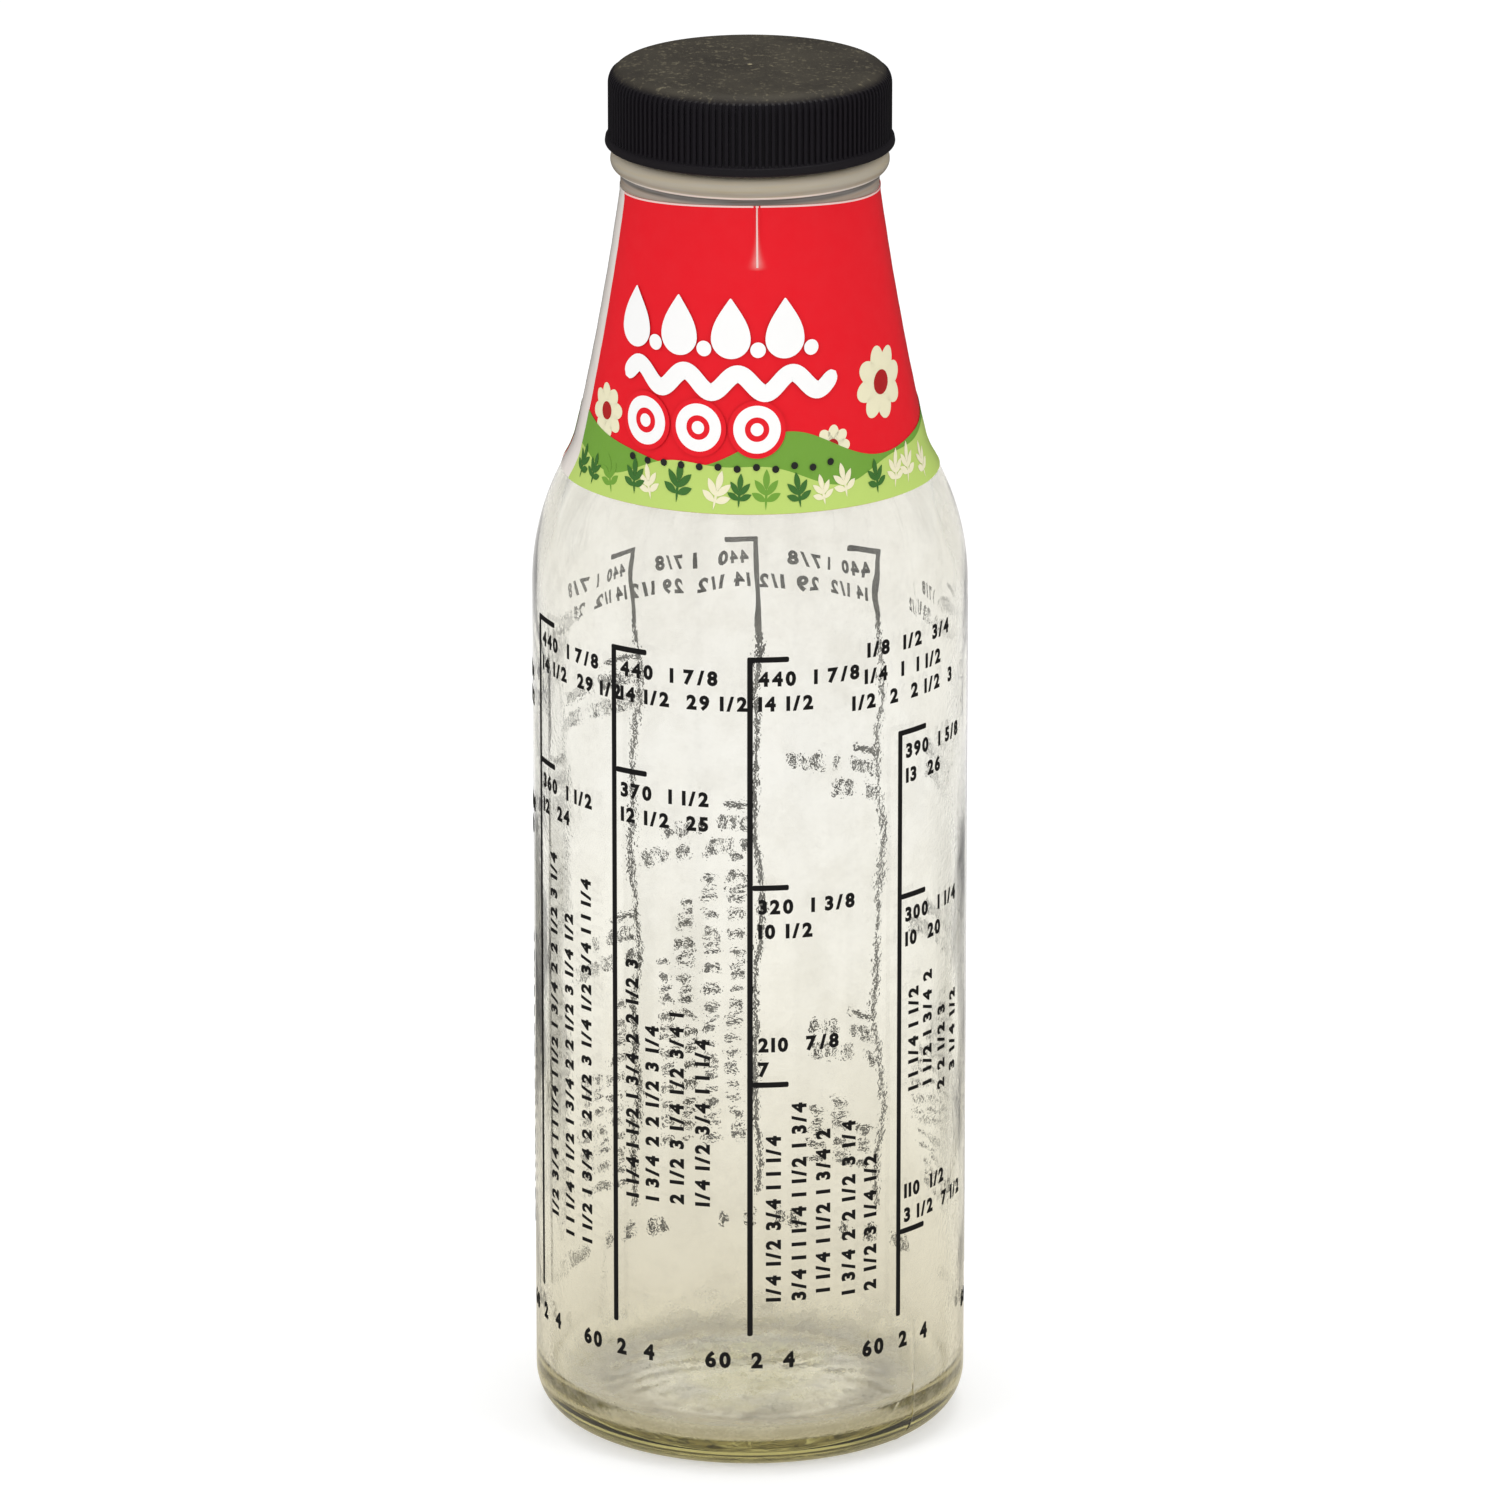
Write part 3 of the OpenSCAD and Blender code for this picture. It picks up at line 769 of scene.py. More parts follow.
def slit_painted_highlight(away, z):
    """Share of a painted highlight beside the slit, from 0 to 1, at an angle from it and a height: a bell curve
    across it whose width grows downwards, as on a pucker, and that ends under it."""
    reach = np.clip((LABEL_HIGH.z - z) / (LABEL_HIGH.z - SLIT_LOW), 0, 1)
    wide = (0.2 + 0.7 * reach ** 3) * MM / (21 * MM)
    ends = np.clip((z - SLIT_LOW + 0.5 * MM) / (0.9 * MM), 0, 1)
    return (0.12 + 0.3 * reach ** 2) * np.exp(-(away / wide) ** 2) * ends


def sleeve_radius(g, z):
    """Radius of the glass under the sleeve, which bridges the neck's edge: near it, the mean over 4 mm."""
    mean = sum(outer_radius(g, z + d * MM) for d in np.linspace(-2, 2, 9)) / 9
    near = np.exp(-((z - g.kink) / (2 * MM)) ** 2)
    return outer_radius(g, z) * (1 - near) + mean * near


def on_label(g, angle, z, lift):
    """Points over the label at an angle from the front and a height, lifted off its inner face."""
    return turned(sleeve_radius(g, z) + label_lift(angle, z) + lift, z, np.radians(FRONT) + angle)


def label_sheet(g, name, start, end, outer, inner=0.0):
    """A stretch of the sleeve between two angles: a thin closed shell that follows the glass."""
    columns = int((end - start) / math.radians(1.3)) + 2
    angle = np.linspace(start, end, columns)
    close = SLIT_PLACE + np.arange(-1.8, 1.81, 0.12) * MM / (21 * MM)
    close = close[(close > start) & (close < end)]
    angle = angle[np.min(np.abs(angle[:, None] - np.r_[close, 9.0][None, :]), 1) > math.radians(0.5)]
    angle = np.sort(np.r_[angle, close])
    share = np.linspace(0, 1, 80)[:, None]
    z = LABEL_LOW.z + (label_top(angle)[None, :] - LABEL_LOW.z) * share
    a = np.broadcast_to(angle[None, :], z.shape)
    return gathered(name, [film(on_label(g, a, z, outer), on_label(g, a, z, inner))])


def motif(g, l, u, z, centre, layer):
    """A printed shape: a film over the label from grids of its distance u round the bottle from a centre angle
    and its height z."""
    angle = centre + u / outer_radius(g, z)
    base = l.film + layer * LAYER
    return film(on_label(g, angle, z, base + LAYER * 0.9), on_label(g, angle, z, base + LAYER * 0.1))


def disc(radius, steps=14):
    """A grid on a disc: (s sqrt(1 - t^2 / 2), t sqrt(1 - s^2 / 2)) * radius, for s and t from -1 to 1."""
    s, t = np.meshgrid(np.linspace(-1, 1, steps), np.linspace(-1, 1, steps))
    return radius * s * np.sqrt(1 - t * t / 2), radius * t * np.sqrt(1 - s * s / 2)


def ring(inner, outer):
    """A grid on a ring, from the outer edge to the inner one."""
    a = np.radians(np.linspace(0, 360, 52))[None, :]
    r = np.array([[outer], [(inner + outer) / 2], [inner]])
    return r * np.cos(a), r * np.sin(a)


def drop(width, height):
    """A grid on a drop: a disc whose upper half narrows to a point with the square of the height."""
    x, y = disc(1.0)
    rise = np.clip(y, 0, 1)
    return x * (1 - 0.75 * rise ** 2) * width / 2, np.where(y > 0, y * height * 0.68, y * height * 0.32)


def leaf(width, height, lean):
    """A grid on a leaf, turned by an angle in degrees: across it t from -1 to 1 times half its width times
    1 - s^2, and along it s from -1 to 1 times half its height."""
    s, t = np.meshgrid(np.linspace(-1, 1, 9), np.linspace(-1, 1, 4), indexing="ij")
    x = t * (1.001 - s * s) * width / 2
    y = s * height / 2
    turn = math.radians(lean)
    return x * math.cos(turn) - y * math.sin(turn), x * math.sin(turn) + y * math.cos(turn)


def ribbon(span, half, swing, wave):
    """A grid on a wavy ribbon with round ends: a sine of that swing and wavelength, and across it t from -1 to 1
    times the half width along the curve's normal, which falls as a quarter circle at each end."""
    x = np.linspace(-span / 2, span / 2, 130)
    slope = swing * 2 * math.pi / wave * np.cos(x / wave * 2 * math.pi)
    end = np.clip((np.abs(x) - span / 2 + half) / half, 0, 1)
    wide = half * np.sqrt(1.001 - end ** 2)
    t = np.linspace(-1, 1, 5)[:, None]
    size = np.sqrt(1 + slope ** 2)
    return x - t * wide * slope / size, swing * np.sin(x / wave * 2 * math.pi) + t * wide / size


def wave_band(z_low, z_high, start, end, steps=240):
    """A grid on a band between two heights, each a function of the angle round the bottle in radians."""
    a = np.linspace(start, end, steps)[None, :]
    share = np.linspace(0, 1, 12)[:, None]
    return np.broadcast_to(a, (12, steps)), z_low(a) * (1 - share) + z_high(a) * share


def dress_label(g, l):
    """The sleeve, its clear seam and its print: a red ground with a row of white drops, a ribbon and rings over
    green hills with sprigs, and flowers behind them."""
    seam = math.radians(l.seam_place)
    tones = {
        "white": (0.95, 0.945, 0.935),
        "pink": (0.85, 0.62, 0.58),
        "lime": (0.5, 0.66, 0.16),
        "leafy": (0.17, 0.36, 0.045),
        "cream": (0.85, 0.8, 0.56),
        "dark_green": (0.05, 0.16, 0.03),
        "dark_red": (0.42, 0.012, 0.014),
        "red": tuple(l.red),
        "black": (0.02, 0.02, 0.018),
        "backing": (0.88, 0.85, 0.78),
    }
    finish = {name: film_material("label_" + name, tone) for name, tone in tones.items()}
    sleeve = label_sheet(g, "neck_label_print", seam, seam + 2 * math.pi - CLEAR_WIDTH, l.film)
    at = np.zeros(len(sleeve.data.vertices) * 3)
    sleeve.data.vertices.foreach_get("co", at)
    at = at.reshape(-1, 3)
    away = np.arctan2(at[:, 1], at[:, 0]) - math.radians(FRONT) - SLIT_PLACE
    # Painted highlight of the lifted film beside the slit.
    point_values(sleeve, "pucker_highlight", slit_painted_highlight(away, at[:, 2]) * (at[:, 1] < 0))
    placed(sleeve, "bottle", "label_film", film_material("label_red", l.red, pucker_highlight=tones["pink"]), "neck_label")
    backing = label_sheet(g, "neck_label_backing", seam, seam + 2 * math.pi - CLEAR_WIDTH, -0.002 * MM, -LABEL_BACKING)
    placed(backing, "bottle", "label_film", film_material("label_backing", tones["backing"], 0.6))
    clear = label_sheet(g, "neck_label_seam", seam - CLEAR_WIDTH, seam, l.film * 0.6)
    placed(clear, "bottle", "label_film", clear_film_material())
    low = LABEL_LOW.z
    start = seam + math.radians(0.4)
    end = seam + 2 * math.pi - CLEAR_WIDTH - math.radians(0.4)

    def printed(name, tone, parts):
        placed(gathered("label_" + name, parts), "bottle", "label_film", finish[tone])

    def band(z_low, z_high, layer):
        a, z = wave_band(z_low, z_high, start, end)
        return motif(g, l, (a - start) * outer_radius(g, z), z, start, layer)

    def shapes(grids, layer):
        return [motif(g, l, x + dx * MM, low + y + dz * MM, centre, layer)
                for centre in (0.0, math.pi) for (x, y), dx, dz in grids]

    flowers = [(24, 17.5, 9.4), (-27, 12.5, 6.8), (13.5, 9.5, 5.2)]
    petals = []
    for x, z, r in flowers:
        u, v = drop(r * 0.37 * MM, r * 0.8 * MM)
        for turn in range(8):
            lean = math.radians(turn * 45 + 7 * x)
            out = v[::-1, ::-1] * -1 + r * 0.36 * MM
            side = u[::-1, ::-1] * -1
            petals.append(((side * math.cos(lean) + out * math.sin(lean),
                            out * math.cos(lean) - side * math.sin(lean)), x, z))
    printed("flower_petals", "cream", shapes(petals, 1))
    printed("flower_hearts", "dark_red", shapes([(disc(r * 0.2 * MM, 12), x, z) for x, z, r in flowers], 2))
    printed("far_hills", "leafy", [band(
        lambda a: low + 0 * a + 0.06 * MM,
        lambda a: low + (9.0 + 2.6 * np.sin(4 * a + 0.6) + 0.8 * np.sin(7 * a)) * MM, 3)])
    printed("near_hills", "lime", [band(
        lambda a: low + 0 * a + 0.06 * MM,
        lambda a: low + (5.9 + 1.8 * np.sin(4 * a + 2.4) + 0.7 * np.sin(9 * a)) * MM, 4)])
    draw = np.random.default_rng(5)
    sprigs = {"leafy": [], "cream": [], "dark_green": []}
    for x in np.arange(-34, 36, 4.6):
        tone = draw.choice(list(sprigs))
        x += draw.uniform(-0.9, 0.9)
        foot = draw.uniform(0.9, 2.0)
        size = draw.uniform(2.3, 3.3)
        lean = draw.uniform(-14, 14)
        for turn, along, big in ((0, 1.45, 1.1), (-38, 1.0, 1), (38, 1.0, 1), (-62, 0.5, 0.85), (62, 0.5, 0.85)):
            way = math.radians(lean + turn)
            stem = math.radians(lean)
            at = x - size * (along * 0.55 * math.sin(stem) + 0.5 * big * math.sin(way))
            up = foot + size * (along * 0.55 * math.cos(stem) + 0.5 * big * math.cos(way))
            sprigs[tone].append((leaf(size * 0.36 * MM, size * big * MM, lean + turn), at, up))
        stalk = size * 0.9
        sprigs[tone].append((leaf(0.4 * MM, stalk * 1.3 * MM, lean), x - stalk / 2 * math.sin(math.radians(lean)),
                             foot + stalk / 2))
    for layer, (tone, grids) in enumerate(sprigs.items()):
        printed(f"sprigs_{tone}", tone, shapes(grids, 5 + layer))
    drops = (-20.0, -11.5, -3.0, 5.5)
    rings = (-17.5, -8.2, 1.1)
    halo = [(disc(4.5 * MM), x, 12.9) for x in rings]
    printed("halo", "red", shapes(halo, 8))
    row = [(drop(6.2 * MM, 9.4 * MM), x, 26.8) for x in drops]
    row += [(disc(1.2 * MM), x + 4.25, 25.2) for x in drops]
    row += [(ring(1.9 * MM, 3.7 * MM), x, 12.9) for x in rings]
    row += [(disc(1.0 * MM), x, 12.9) for x in rings]
    row += [(ribbon(36 * MM, 1.35 * MM, 1.5 * MM, 8.5 * MM), -4.0, 20.0)]
    printed("ornaments", "white", shapes(row, 9))
    printed("dots", "black", shapes([(disc(0.55 * MM, 9), x, 6.9 + 0.3 * math.cos(x)) for x in range(-20, 14, 3)], 9))
    top = label_top(SLIT_PLACE)
    down = np.linspace(0, 1, 60)[:, None]
    half = (0.1 + 0.06 * down) * MM
    slit = half * np.array([[-1, 1]]), top + (SLIT_LOW - top) * down + np.zeros((1, 2))
    printed("slit", "pink", [motif(g, l, slit[0][::-1], slit[1][::-1], SLIT_PLACE, 0)])
    edge = start + np.linspace(0, 1, 300)[None, :] * (end - start) + np.zeros((3, 1))
    rise = label_top(edge) - np.array([[0.3], [0.15], [0.01]]) * MM
    printed("top_margin", "pink", [motif(g, l, (edge - start) * outer_radius(g, rise), rise, start, 0)])


def clear_film_material():
    """The sleeve's clear overlap: thin see-through film."""
    material, tree, shader = new_material("label_clear", {
        "Base Color": (0.97, 0.9, 0.84, 1), "Transmission Weight": 0.08, "Roughness": 0.12, "IOR": 1.45})
    bumped(tree, shader, noise(tree, object_place(tree), 220.0), 0.1 * MM)
    return material


# Printed scales

SCALES = (
    (0, (0, 37.8, 70.8)),
    (43, (15, 42.4, 99.1)),
    (91, (0, 26, 54)),
    (140, (0, 34, 80)),
    (178, (0, 45.5)),
    (215, (0, 18, 62)),
    (251, (8, 30)),
    (287, (0, 23.7)),
    (322, (0, 20.1)),
)
COLUMNS = (
    ((8.2, 30, 62), (15, 30, 60), (21.6, 31, 58), (28.9, 30, 62), (35.5, 30, 58)),
    ((7.5, 62, 82), (13.5, 62, 84), (20.5, 60, 82), (27.5, 62, 84)),
    ((8, 32, 68), (15, 32, 62), (22, 32, 66), (29, 32, 58)),
    ((8, 31, 45), (15, 31, 44), (22, 31, 45)),
    ((8, 34, 82), (15, 34, 76), (22, 34, 80), (29, 34, 72)),
    ((8, 29, 59), (15, 29, 54), (22, 29, 58)),
    ((8, 32, 88), (15, 32, 96), (22, 32, 84)),
    ((11, 38, 98), (19, 36, 92), (26.5, 36, 100)),
    ((7.5, 46, 84), (13.5, 46, 78), (20.5, 46, 84), (27.5, 46, 80)),
)
MARKED_ABOVE = ((0, 2), (1, 2))
NOTES = (
    (32.0, 136.3, "1/8  1/2  3/4"),
    (31.2, 132.0, "1/4  1  1 1/2"),
    (27.5, 127.9, "1/2  2  2 1/2  3"),
)
AMOUNTS = ("1/4", "1/2", "3/4", "1", "1 1/4", "1 1/2", "1 3/4", "2", "2 1/2", "3")
INK_LIFT = 0.004 * MM
INK_FILM = 0.045 * MM
INNER_FLOOR = 5.75 * MM


def wrapped(flat, depth, angle, z):
    """Flat points wrapped on the body: x runs round the wall from an angle in degrees, y up from a height, and
    depth outwards from the glass."""
    around = np.radians(FRONT + angle) + flat[..., 0] / CAP_BODY_RADIUS
    return turned(CAP_BODY_RADIUS + INK_LIFT + depth, z + flat[..., 1], around)


def inked(flat, angle, z):
    """A film of ink from a grid of flat points."""
    return film(wrapped(flat, INK_FILM, angle, z), wrapped(flat, 0.0, angle, z))


def stroke(width, start, end, steps):
    """A grid on a straight stroke with rounded corners: two edges on both sides of the line from start to end,
    whose distance from it follows a quarter circle at each end."""
    start = np.array(start, float)
    end = np.array(end, float)
    reach = np.linalg.norm(end - start)
    way = (end - start) / reach
    side = np.array([-way[1], way[0]])
    soft = width * 0.3
    bow = np.radians(np.linspace(0, 90, 4))
    along = np.r_[soft - soft * np.cos(bow), np.linspace(0, reach, steps + 1)[1:-1],
                  reach - soft + soft * np.cos(bow[::-1])]
    half = width / 2 - soft
    half = np.r_[half + soft * np.sin(bow), np.full(steps - 1, width / 2), half + soft * np.sin(bow[::-1])]
    spine = start + along[:, None] * way
    edges = [spine - half[:, None] * side, spine + half[:, None] * side]
    return np.stack(edges, 0)


def fill_scales(s):
    """Every scale: one upright stroke and its marks, which start at the stroke's left edge."""
    parts = []
    top = SCALES_HIGH.z
    low = SCALES_LOW.z
    for angle, drops in SCALES:
        high = top - drops[0] * MM
        parts.append(inked(stroke(s.line, (0, 0), (0, high - low - 0.35 * s.line), 50), angle, low))
        for drop_by in drops:
            middle = top - drop_by * MM - s.line / 2
            start = (-s.line / 2, 0) if drop_by == drops[0] else (s.line / 2 - 0.05 * MM, 0)
            parts.append(inked(stroke(s.line, start, (s.mark, 0), 12), angle, middle))
    return gathered("fill_scales_lines", parts)


def digit_shapes(thicken):
    """Flat digits one unit high from the built-in font: for each character its points, its triangles, the
    directed edges that bound them and its width. The nine is the six turned round."""
    shapes = {}
    for mark in "801234567/":
        curve = bpy.data.curves.new("digit", "FONT")
        curve.body = mark
        curve.offset = thicken
        curve.resolution_u = 3
        thing = bpy.data.objects.new("digit", curve)
        mesh = bpy.data.meshes.new_from_object(thing)
        mesh.calc_loop_triangles()
        points = np.zeros(len(mesh.vertices) * 3)
        mesh.vertices.foreach_get("co", points)
        points = points.reshape(-1, 3)[:, :2]
        triangles = np.zeros(len(mesh.loop_triangles) * 3, np.int32)
        mesh.loop_triangles.foreach_get("vertices", triangles)
        triangles = triangles.reshape(-1, 3)
        if mark == "8":
            low, high = points[:, 1].min(), points[:, 1].max()
        points = (points - [points[:, 0].min(), low]) / (high - low)
        a, b, c = points[triangles[:, 0]], points[triangles[:, 1]], points[triangles[:, 2]]
        turn = (b - a)[:, 0] * (c - a)[:, 1] - (b - a)[:, 1] * (c - a)[:, 0]
        triangles = np.where(turn[:, None] < 0, triangles[:, ::-1], triangles)
        edges = np.concatenate([triangles[:, [0, 1]], triangles[:, [1, 2]], triangles[:, [2, 0]]])
        _, at, times = np.unique(np.sort(edges, 1), axis=0, return_index=True, return_counts=True)
        shapes[mark] = points, triangles, edges[at[times == 1]], points[:, 0].max()
        bpy.data.objects.remove(thing)
        bpy.data.curves.remove(curve)
        bpy.data.meshes.remove(mesh)
    points, triangles, edges, width = shapes["6"]
    shapes["9"] = [width, 1] - points, triangles, edges, width
    return shapes


def written(shapes, text, height, angle, z, upward=False, centred=False):
    """Films of ink for a row of numbers, which starts at an angle and a height and runs to the right or up."""
    x = 0.0
    row = []
    for mark in text:
        if mark == " ":
            x += 0.5
            continue
        points, triangles, edges, width = shapes[mark]
        row.append((points + [x, 0], triangles, edges))
        x += width + 0.17
    shift = (x - 0.17) / 2 if centred else 0.0
    parts = []
    for points, triangles, edges in row:
        flat = (points - [shift, 0]) * height
        if upward:
            flat = np.stack([-flat[:, 1], flat[:, 0]], 1)
        front = wrapped(flat, INK_FILM, angle, z)
        back = wrapped(flat, 0.0, angle, z)
        parts.append(rimmed(front, back, triangles, edges))
    return parts


def held_volume(g, z):
    """What the bottle holds up to a height inside its straight wall, in millilitres: pi r^2 h."""
    return math.pi * (CAP_BODY_RADIUS - g.wall) ** 2 * (z - INNER_FLOOR) * 1e6


def measures(volume, size):
    """A volume in measures of that size, to the nearest eighth of a large one or half of a small one."""
    parts = 8 if size > 100 else 2
    whole, rest = divmod(round(volume / size * parts), parts)
    shared = math.gcd(rest, parts)
    fraction = f"{rest // shared}/{parts // shared}" if rest else ""
    return f"{whole or ''} {fraction}".strip()


def scale_figures(g, s):
    """The numbers: at each mark its volume in millilitres and cups over the same in ounces and spoons, under each
    scale the volume at its foot, beside it upright columns of amounts, and notes of amounts high on the wall."""
    shapes = digit_shapes(0.05)
    parts = []
    top = SCALES_HIGH.z
    for place, (angle, drops) in enumerate(SCALES):
        beside = angle + math.degrees(1.3 * MM / CAP_BODY_RADIUS)
        for order, drop_by in enumerate(drops):
            mark = top - drop_by * MM
            volume = held_volume(g, mark)
            lines = mark + (5.0 if (place, order) in MARKED_ABOVE else -4.9) * MM
            large = f"{round(volume, -1):.0f}  {measures(volume, 240)}"
            small = measures(volume, 30) + (f"  {measures(volume, 15)}" if place else "")
            parts += written(shapes, large, s.digit, beside, lines)
            parts += written(shapes, small, s.digit, beside, lines - 4.1 * MM)
        first = held_volume(g, SCALES_LOW.z)
        under = f"{round(first, -1):.0f}  {measures(first, 30)}  {measures(first, 15)}"
        parts += written(shapes, under, s.digit * 1.12, angle, SCALES_LOW.z - 5.6 * MM, centred=True)
        for column, (beside, low, high) in enumerate(COLUMNS[place]):
            count = int((high - low) / 6.0)
            amounts = [AMOUNTS[(3 * place + 2 * column + k) % len(AMOUNTS)] for k in range(count)]
            parts += written(shapes, " ".join(amounts), s.digit, angle + beside, low * MM, upward=True)
    for angle, z, text in NOTES:
        parts += written(shapes, text, s.digit, angle, z * MM)
    return gathered("fill_scales_figures", parts)


# Stage


def made_up(tree, strength):
    """A strength, raised for the rays that light dull surfaces through glass, which the lamps don't reach."""
    path = add_node(tree, "ShaderNodeLightPath")
    behind = sum_of(tree, "GREATER_THAN", path.outputs["Diffuse Depth"], 0.5)
    return sum_of(tree, "MULTIPLY", strength, sum_of(tree, "MULTIPLY_ADD", behind, 0.6, 1.0))


def seen_in_glass(tree):
    """1 for rays that went through glass or left a mirror-smooth surface, and 0 for the others."""
    path = add_node(tree, "ShaderNodeLightPath")
    return sum_of(tree, "MAXIMUM", path.outputs["Is Transmission Ray"], path.outputs["Is Singular Ray"])


def flags(tree, place, share):
    """Brightness of the white surroundings as glass shows them: 1 in wide white stretches, one of them behind the
    bottle, and less in the grey flags between them, which draw the edges of the glass. Each quarter of the circle
    has two flags, FLAG_PLACE from its ends and twice FLAG_WIDTH wide, and those on the left are the darker ones.
    Rays that crossed the hollow, and so four faces of the glass, see them at ACROSS_SHARE of their depth."""
    axes = add_node(tree, "ShaderNodeSeparateXYZ", {0: place})
    angle = sum_of(tree, "ARCTAN2", axes.outputs["X"], axes.outputs["Y"])
    off_quarter = sum_of(tree, "PINGPONG", angle, math.radians(45))
    away = sum_of(tree, "ABSOLUTE", sum_of(tree, "SUBTRACT", off_quarter, math.radians(FLAG_PLACE)))
    flag = add_node(tree, "ShaderNodeMapRange", {
        "Value": away, "From Min": math.radians(FLAG_WIDTH + 1.5), "From Max": math.radians(FLAG_WIDTH - 1.5)},
        interpolation_type="SMOOTHSTEP").outputs[0]
    depth = add_node(tree, "ShaderNodeMapRange", {
        "Value": sum_of(tree, "SINE", angle), "From Min": -0.4, "From Max": 0.4,
        "To Min": 0.75, "To Max": 0.42}).outputs[0]
    crossed = sum_of(tree, "GREATER_THAN", add_node(tree, "ShaderNodeLightPath").outputs["Transmission Depth"], 2.5)
    depth = sum_of(tree, "MULTIPLY", depth, sum_of(tree, "MULTIPLY_ADD", crossed, ACROSS_SHARE - 1, 1.0))
    depth = sum_of(tree, "MULTIPLY", depth, share)
    return sum_of(tree, "SUBTRACT", 1.0, sum_of(tree, "MULTIPLY", flag, depth))


FLAG_PLACE = 31.5
FLAG_WIDTH = 9.0
ACROSS_SHARE = 0.4
# Tones of the sweep seen in glass by distance from the axis in metres: a painted shadow near and under the bottle, with
# a painted light ring and painted dark rings under its base, white further out.
SWEEP_WITH_PAINTED_SHADOW = ((0.0, 0.64, 0.59, 0.4), (0.01, 0.68, 0.63, 0.45), (0.013, 0.9, 0.85, 0.72), (0.0165, 0.9, 0.85, 0.72),
         (0.019, 0.54, 0.48, 0.34), (0.022, 0.55, 0.49, 0.35), (0.0265, 0.41, 0.37, 0.26), (0.031, 0.43, 0.39, 0.28),
         (0.038, 0.76, 0.71, 0.58), (0.055, 0.76, 0.71, 0.59), (0.13, 0.87, 0.835, 0.745), (0.24, 1.0, 0.985, 0.955),
         (0.36, 0.99, 0.985, 0.99), (0.5, 0.94, 0.925, 0.91), (0.9, 0.88, 0.865, 0.84))


def floor_material(dull):
    """Matt white floor with the bottle's shadow. Dull surfaces reflect it as dim as the room. Glass shows it as a
    white sweep between grey flags, with a painted shadow near and under the bottle and painted rings under its base."""
    material, tree, shader = new_material("white_floor", {
        "Base Color": (0.8, 0.8, 0.8, 1), "Roughness": 0.9, "Specular IOR Level": 0.0,
        "Emission Color": (1, 1, 1, 1)})
    path = add_node(tree, "ShaderNodeLightPath")
    lit = sum_of(tree, "MULTIPLY", path.outputs["Is Camera Ray"], 0.36)
    tree.links.new(lit, shader.inputs["Emission Strength"])
    place = object_place(tree)
    far = add_node(tree, "ShaderNodeVectorMath", {0: place}, operation="LENGTH").outputs["Value"]
    # The sweep's tone, with the painted shadow near the bottle.
    fall = add_node(tree, "ShaderNodeValToRGB", {"Fac": far})
    stops = fall.color_ramp.elements
    for at, *tone in SWEEP_WITH_PAINTED_SHADOW[1:-1]:
        stops.new(at).color = (*tone, 1)
    stops[0].color = (*SWEEP_WITH_PAINTED_SHADOW[0][1:], 1)
    stops[-1].position = SWEEP_WITH_PAINTED_SHADOW[-1][0]
    stops[-1].color = (*SWEEP_WITH_PAINTED_SHADOW[-1][1:], 1)
    share = add_node(tree, "ShaderNodeMapRange", {"Value": far, "From Min": 0.12, "From Max": 0.2},
                     interpolation_type="SMOOTHSTEP").outputs[0]
    past = add_node(tree, "ShaderNodeMapRange", {
        "Value": far, "From Min": 0.31, "From Max": 0.38, "To Min": 1.0, "To Max": 0.1},
        interpolation_type="SMOOTHSTEP").outputs[0]
    share = sum_of(tree, "MULTIPLY", share, past)
    sweep = add_node(tree, "ShaderNodeEmission", {
        "Color": fall.outputs["Color"], "Strength": made_up(tree, flags(tree, place, share))})
    dim = add_node(tree, "ShaderNodeEmission", {"Strength": dull})
    matt = add_node(tree, "ShaderNodeMixShader", {
        0: path.outputs["Is Glossy Ray"], 1: shader.outputs[0], 2: dim.outputs[0]})
    mixed = add_node(tree, "ShaderNodeMixShader", {0: seen_in_glass(tree), 1: matt.outputs[0], 2: sweep.outputs[0]})
    tree.links.new(mixed.outputs[0], tree.nodes["Material Output"].inputs["Surface"])
    return material


def white_world(st):
    """White to the camera, white with grey flags in glass, and softer levels that light the bottle and show in
    its dull surfaces."""
    world = bpy.data.worlds.new("white_room")
    world.use_nodes = True
    tree = world.node_tree
    back = tree.nodes["Background"]
    path = add_node(tree, "ShaderNodeLightPath")
    around = add_node(tree, "ShaderNodeTexCoord").outputs["Generated"]
    dull = sum_of(tree, "MULTIPLY_ADD", path.outputs["Is Glossy Ray"], st.dull - st.ambient, st.ambient)
    lit = add_node(tree, "ShaderNodeMix", {0: seen_in_glass(tree), 2: dull, 3: flags(tree, around, 0.5)}).outputs[0]
    strength = add_node(tree, "ShaderNodeMix", {0: path.outputs["Is Camera Ray"], 2: lit, 3: 1.0}).outputs[0]
    back.inputs["Color"].default_value = (1, 1, 1, 1)
    tree.links.new(strength, back.inputs["Strength"])
    bpy.context.scene.world = world


def softbox(name, place, target, size, power, shines=False):
    """A square area lamp at a place, turned to a target, that the camera doesn't see, nor gloss unless it
    shines."""
    lamp = bpy.data.lights.new(name, "AREA")
    lamp.size = size
    lamp.energy = power
    thing = bpy.data.objects.new(name, lamp)
    bpy.context.scene.collection.objects.link(thing)
    thing.location = place
    thing.rotation_euler = (Vector(target) - Vector(place)).to_track_quat("-Z", "Y").to_euler()
    thing.visible_camera = False
    thing.visible_glossy = shines
    thing.visible_transmission = False
    return thing


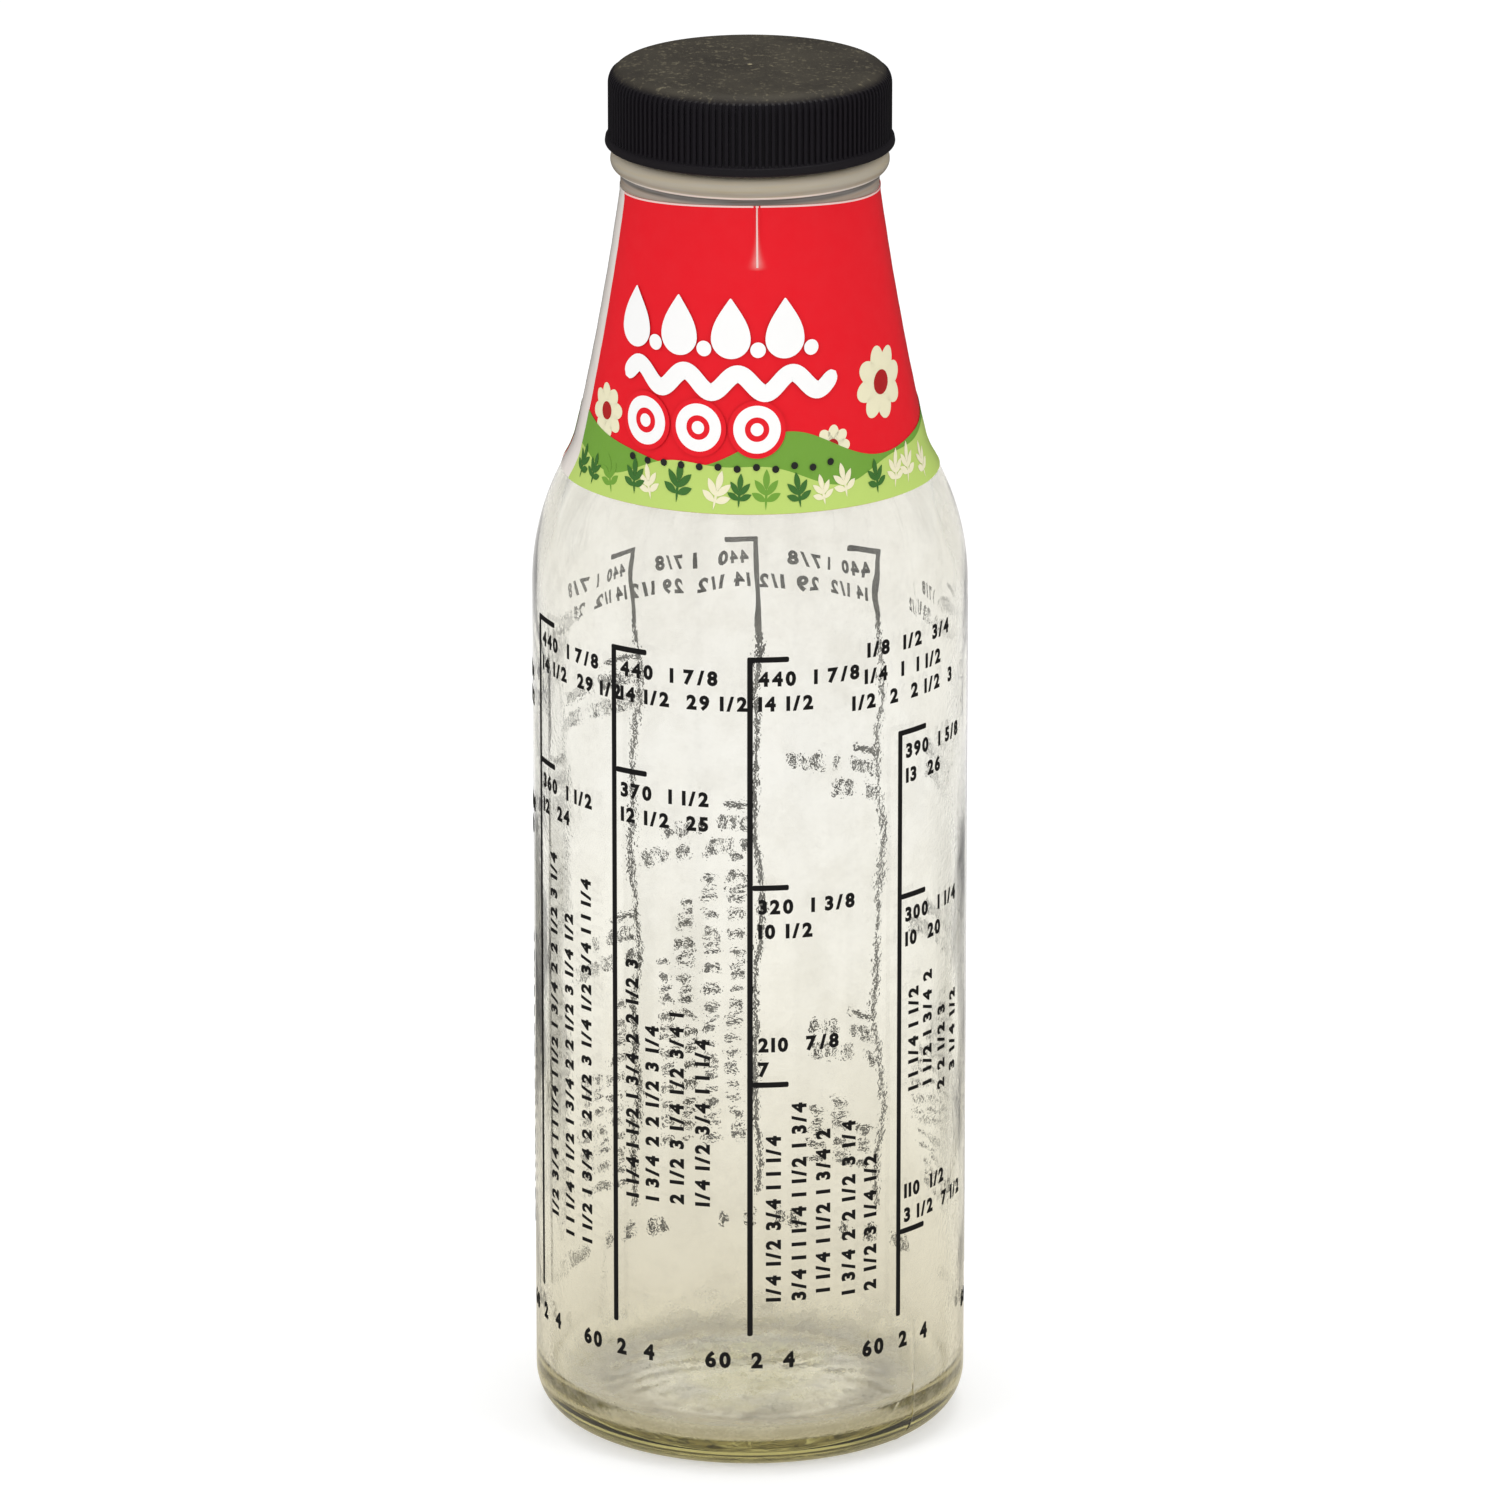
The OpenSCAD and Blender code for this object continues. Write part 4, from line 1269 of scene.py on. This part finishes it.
def studio(st):
    """Floor, world, lamps and the camera at the photograph's angle."""
    bpy.context.scene.view_settings.view_transform = "Standard"
    half = 6.0
    corners = np.array([[-half, -half, 0], [half, -half, 0], [half, half, 0], [-half, half, 0]])
    floor = make_mesh("floor", corners, [np.array([[0, 1, 2, 3]])])
    floor.data.materials.append(floor_material(st.dull))
    white_world(st)
    middle = (0, 0, st.aim)
    softbox("lamp_left", (-0.9, -0.9, 0.7), middle, 0.5, st.lamps * 1.2)
    softbox("lamp_right", (1.0, -0.7, 0.6), middle, 0.4, st.lamps * 0.8)
    softbox("lamp_top", (0.1, 0.1, 1.3), middle, 0.8, st.lamps * 0.8, shines=True)
    lens = bpy.data.cameras.new("camera")
    lens.lens = st.lens
    lens.sensor_width = 36.0
    lens.clip_start = 0.05
    lens.clip_end = 50.0
    camera = bpy.data.objects.new("camera", lens)
    bpy.context.scene.collection.objects.link(camera)
    up = math.radians(st.elevation)
    camera.location = (0, -st.distance * math.cos(up), st.aim + st.distance * math.sin(up))
    camera.rotation_euler = (math.pi / 2 - up, 0, 0)
    bpy.context.scene.camera = camera


# Operators


class SHAKER_OT_stage(bpy.types.Operator):
    """Set up the white floor, the light and the camera"""

    bl_idname = "shaker.stage"
    bl_label = "Stage"

    def execute(self, context):
        studio(context.scene.shaker_stage)
        return {"FINISHED"}


class SHAKER_OT_glass(bpy.types.Operator):
    """Build the clear glass bottle"""

    bl_idname = "shaker.glass"
    bl_label = "Glass Bottle"

    def execute(self, context):
        g = context.scene.shaker_glass
        placed(glass_bottle(g), "bottle", "clear_glass", glass_material(g), "glass_bottle")
        return {"FINISHED"}


class SHAKER_OT_cap(bpy.types.Operator):
    """Build the ribbed screw cap"""

    bl_idname = "shaker.cap"
    bl_label = "Screw Cap"

    def execute(self, context):
        c = context.scene.shaker_cap
        placed(screw_cap(c), "cap", "cap_plastic", cap_material(c), "screw_cap")
        return {"FINISHED"}


class SHAKER_OT_liner(bpy.types.Operator):
    """Build the foam liner"""

    bl_idname = "shaker.liner"
    bl_label = "Cap Liner"

    def execute(self, context):
        placed(cap_liner(), "liner", "liner_foam", foam_material(), "cap_liner")
        return {"FINISHED"}


class SHAKER_OT_label(bpy.types.Operator):
    """Build the neck label"""

    bl_idname = "shaker.label"
    bl_label = "Neck Label"

    def execute(self, context):
        dress_label(context.scene.shaker_glass, context.scene.shaker_label)
        return {"FINISHED"}


class SHAKER_OT_scales(bpy.types.Operator):
    """Print the measuring scales"""

    bl_idname = "shaker.scales"
    bl_label = "Fill Scales"

    def execute(self, context):
        g = context.scene.shaker_glass
        s = context.scene.shaker_scales
        ink = ink_material(s)
        placed(fill_scales(s), "bottle", "fired_ink", ink, "fill_scales")
        placed(scale_figures(g, s), "bottle", "fired_ink", ink)
        return {"FINISHED"}


OPERATORS = (SHAKER_OT_stage, SHAKER_OT_glass, SHAKER_OT_cap, SHAKER_OT_liner, SHAKER_OT_label, SHAKER_OT_scales)
GROUPS = {
    "shaker_glass": GlassShape,
    "shaker_cap": CapShape,
    "shaker_label": LabelShape,
    "shaker_scales": ScaleShape,
    "shaker_stage": StageShape,
}


class SHAKER_PT_panel(bpy.types.Panel):
    """Sizes, colours and the operators that build each piece"""

    bl_idname = "SHAKER_PT_panel"
    bl_label = "Shaker Bottle"
    bl_space_type = "VIEW_3D"
    bl_region_type = "UI"
    bl_category = "Shaker Bottle"

    def draw(self, context):
        for name, group in GROUPS.items():
            box = self.layout.box()
            box.label(text=group.__doc__)
            for prop in group.__annotations__:
                box.prop(getattr(context.scene, name), prop)
        for operator in OPERATORS:
            self.layout.operator(operator.bl_idname)


def register():
    for group in GROUPS.values():
        bpy.utils.register_class(group)
    for name, group in GROUPS.items():
        setattr(bpy.types.Scene, name, PointerProperty(type=group))
    for item in (*OPERATORS, SHAKER_PT_panel):
        bpy.utils.register_class(item)


def unregister():
    for item in (SHAKER_PT_panel, *reversed(OPERATORS)):
        bpy.utils.unregister_class(item)
    for name, group in GROUPS.items():
        delattr(bpy.types.Scene, name)
        bpy.utils.unregister_class(group)


def main():
    """Builds everything in order."""
    register()
    for operator in OPERATORS:
        group, name = operator.bl_idname.split(".")
        getattr(getattr(bpy.ops, group), name)()


if __name__ == "__main__":
    main()
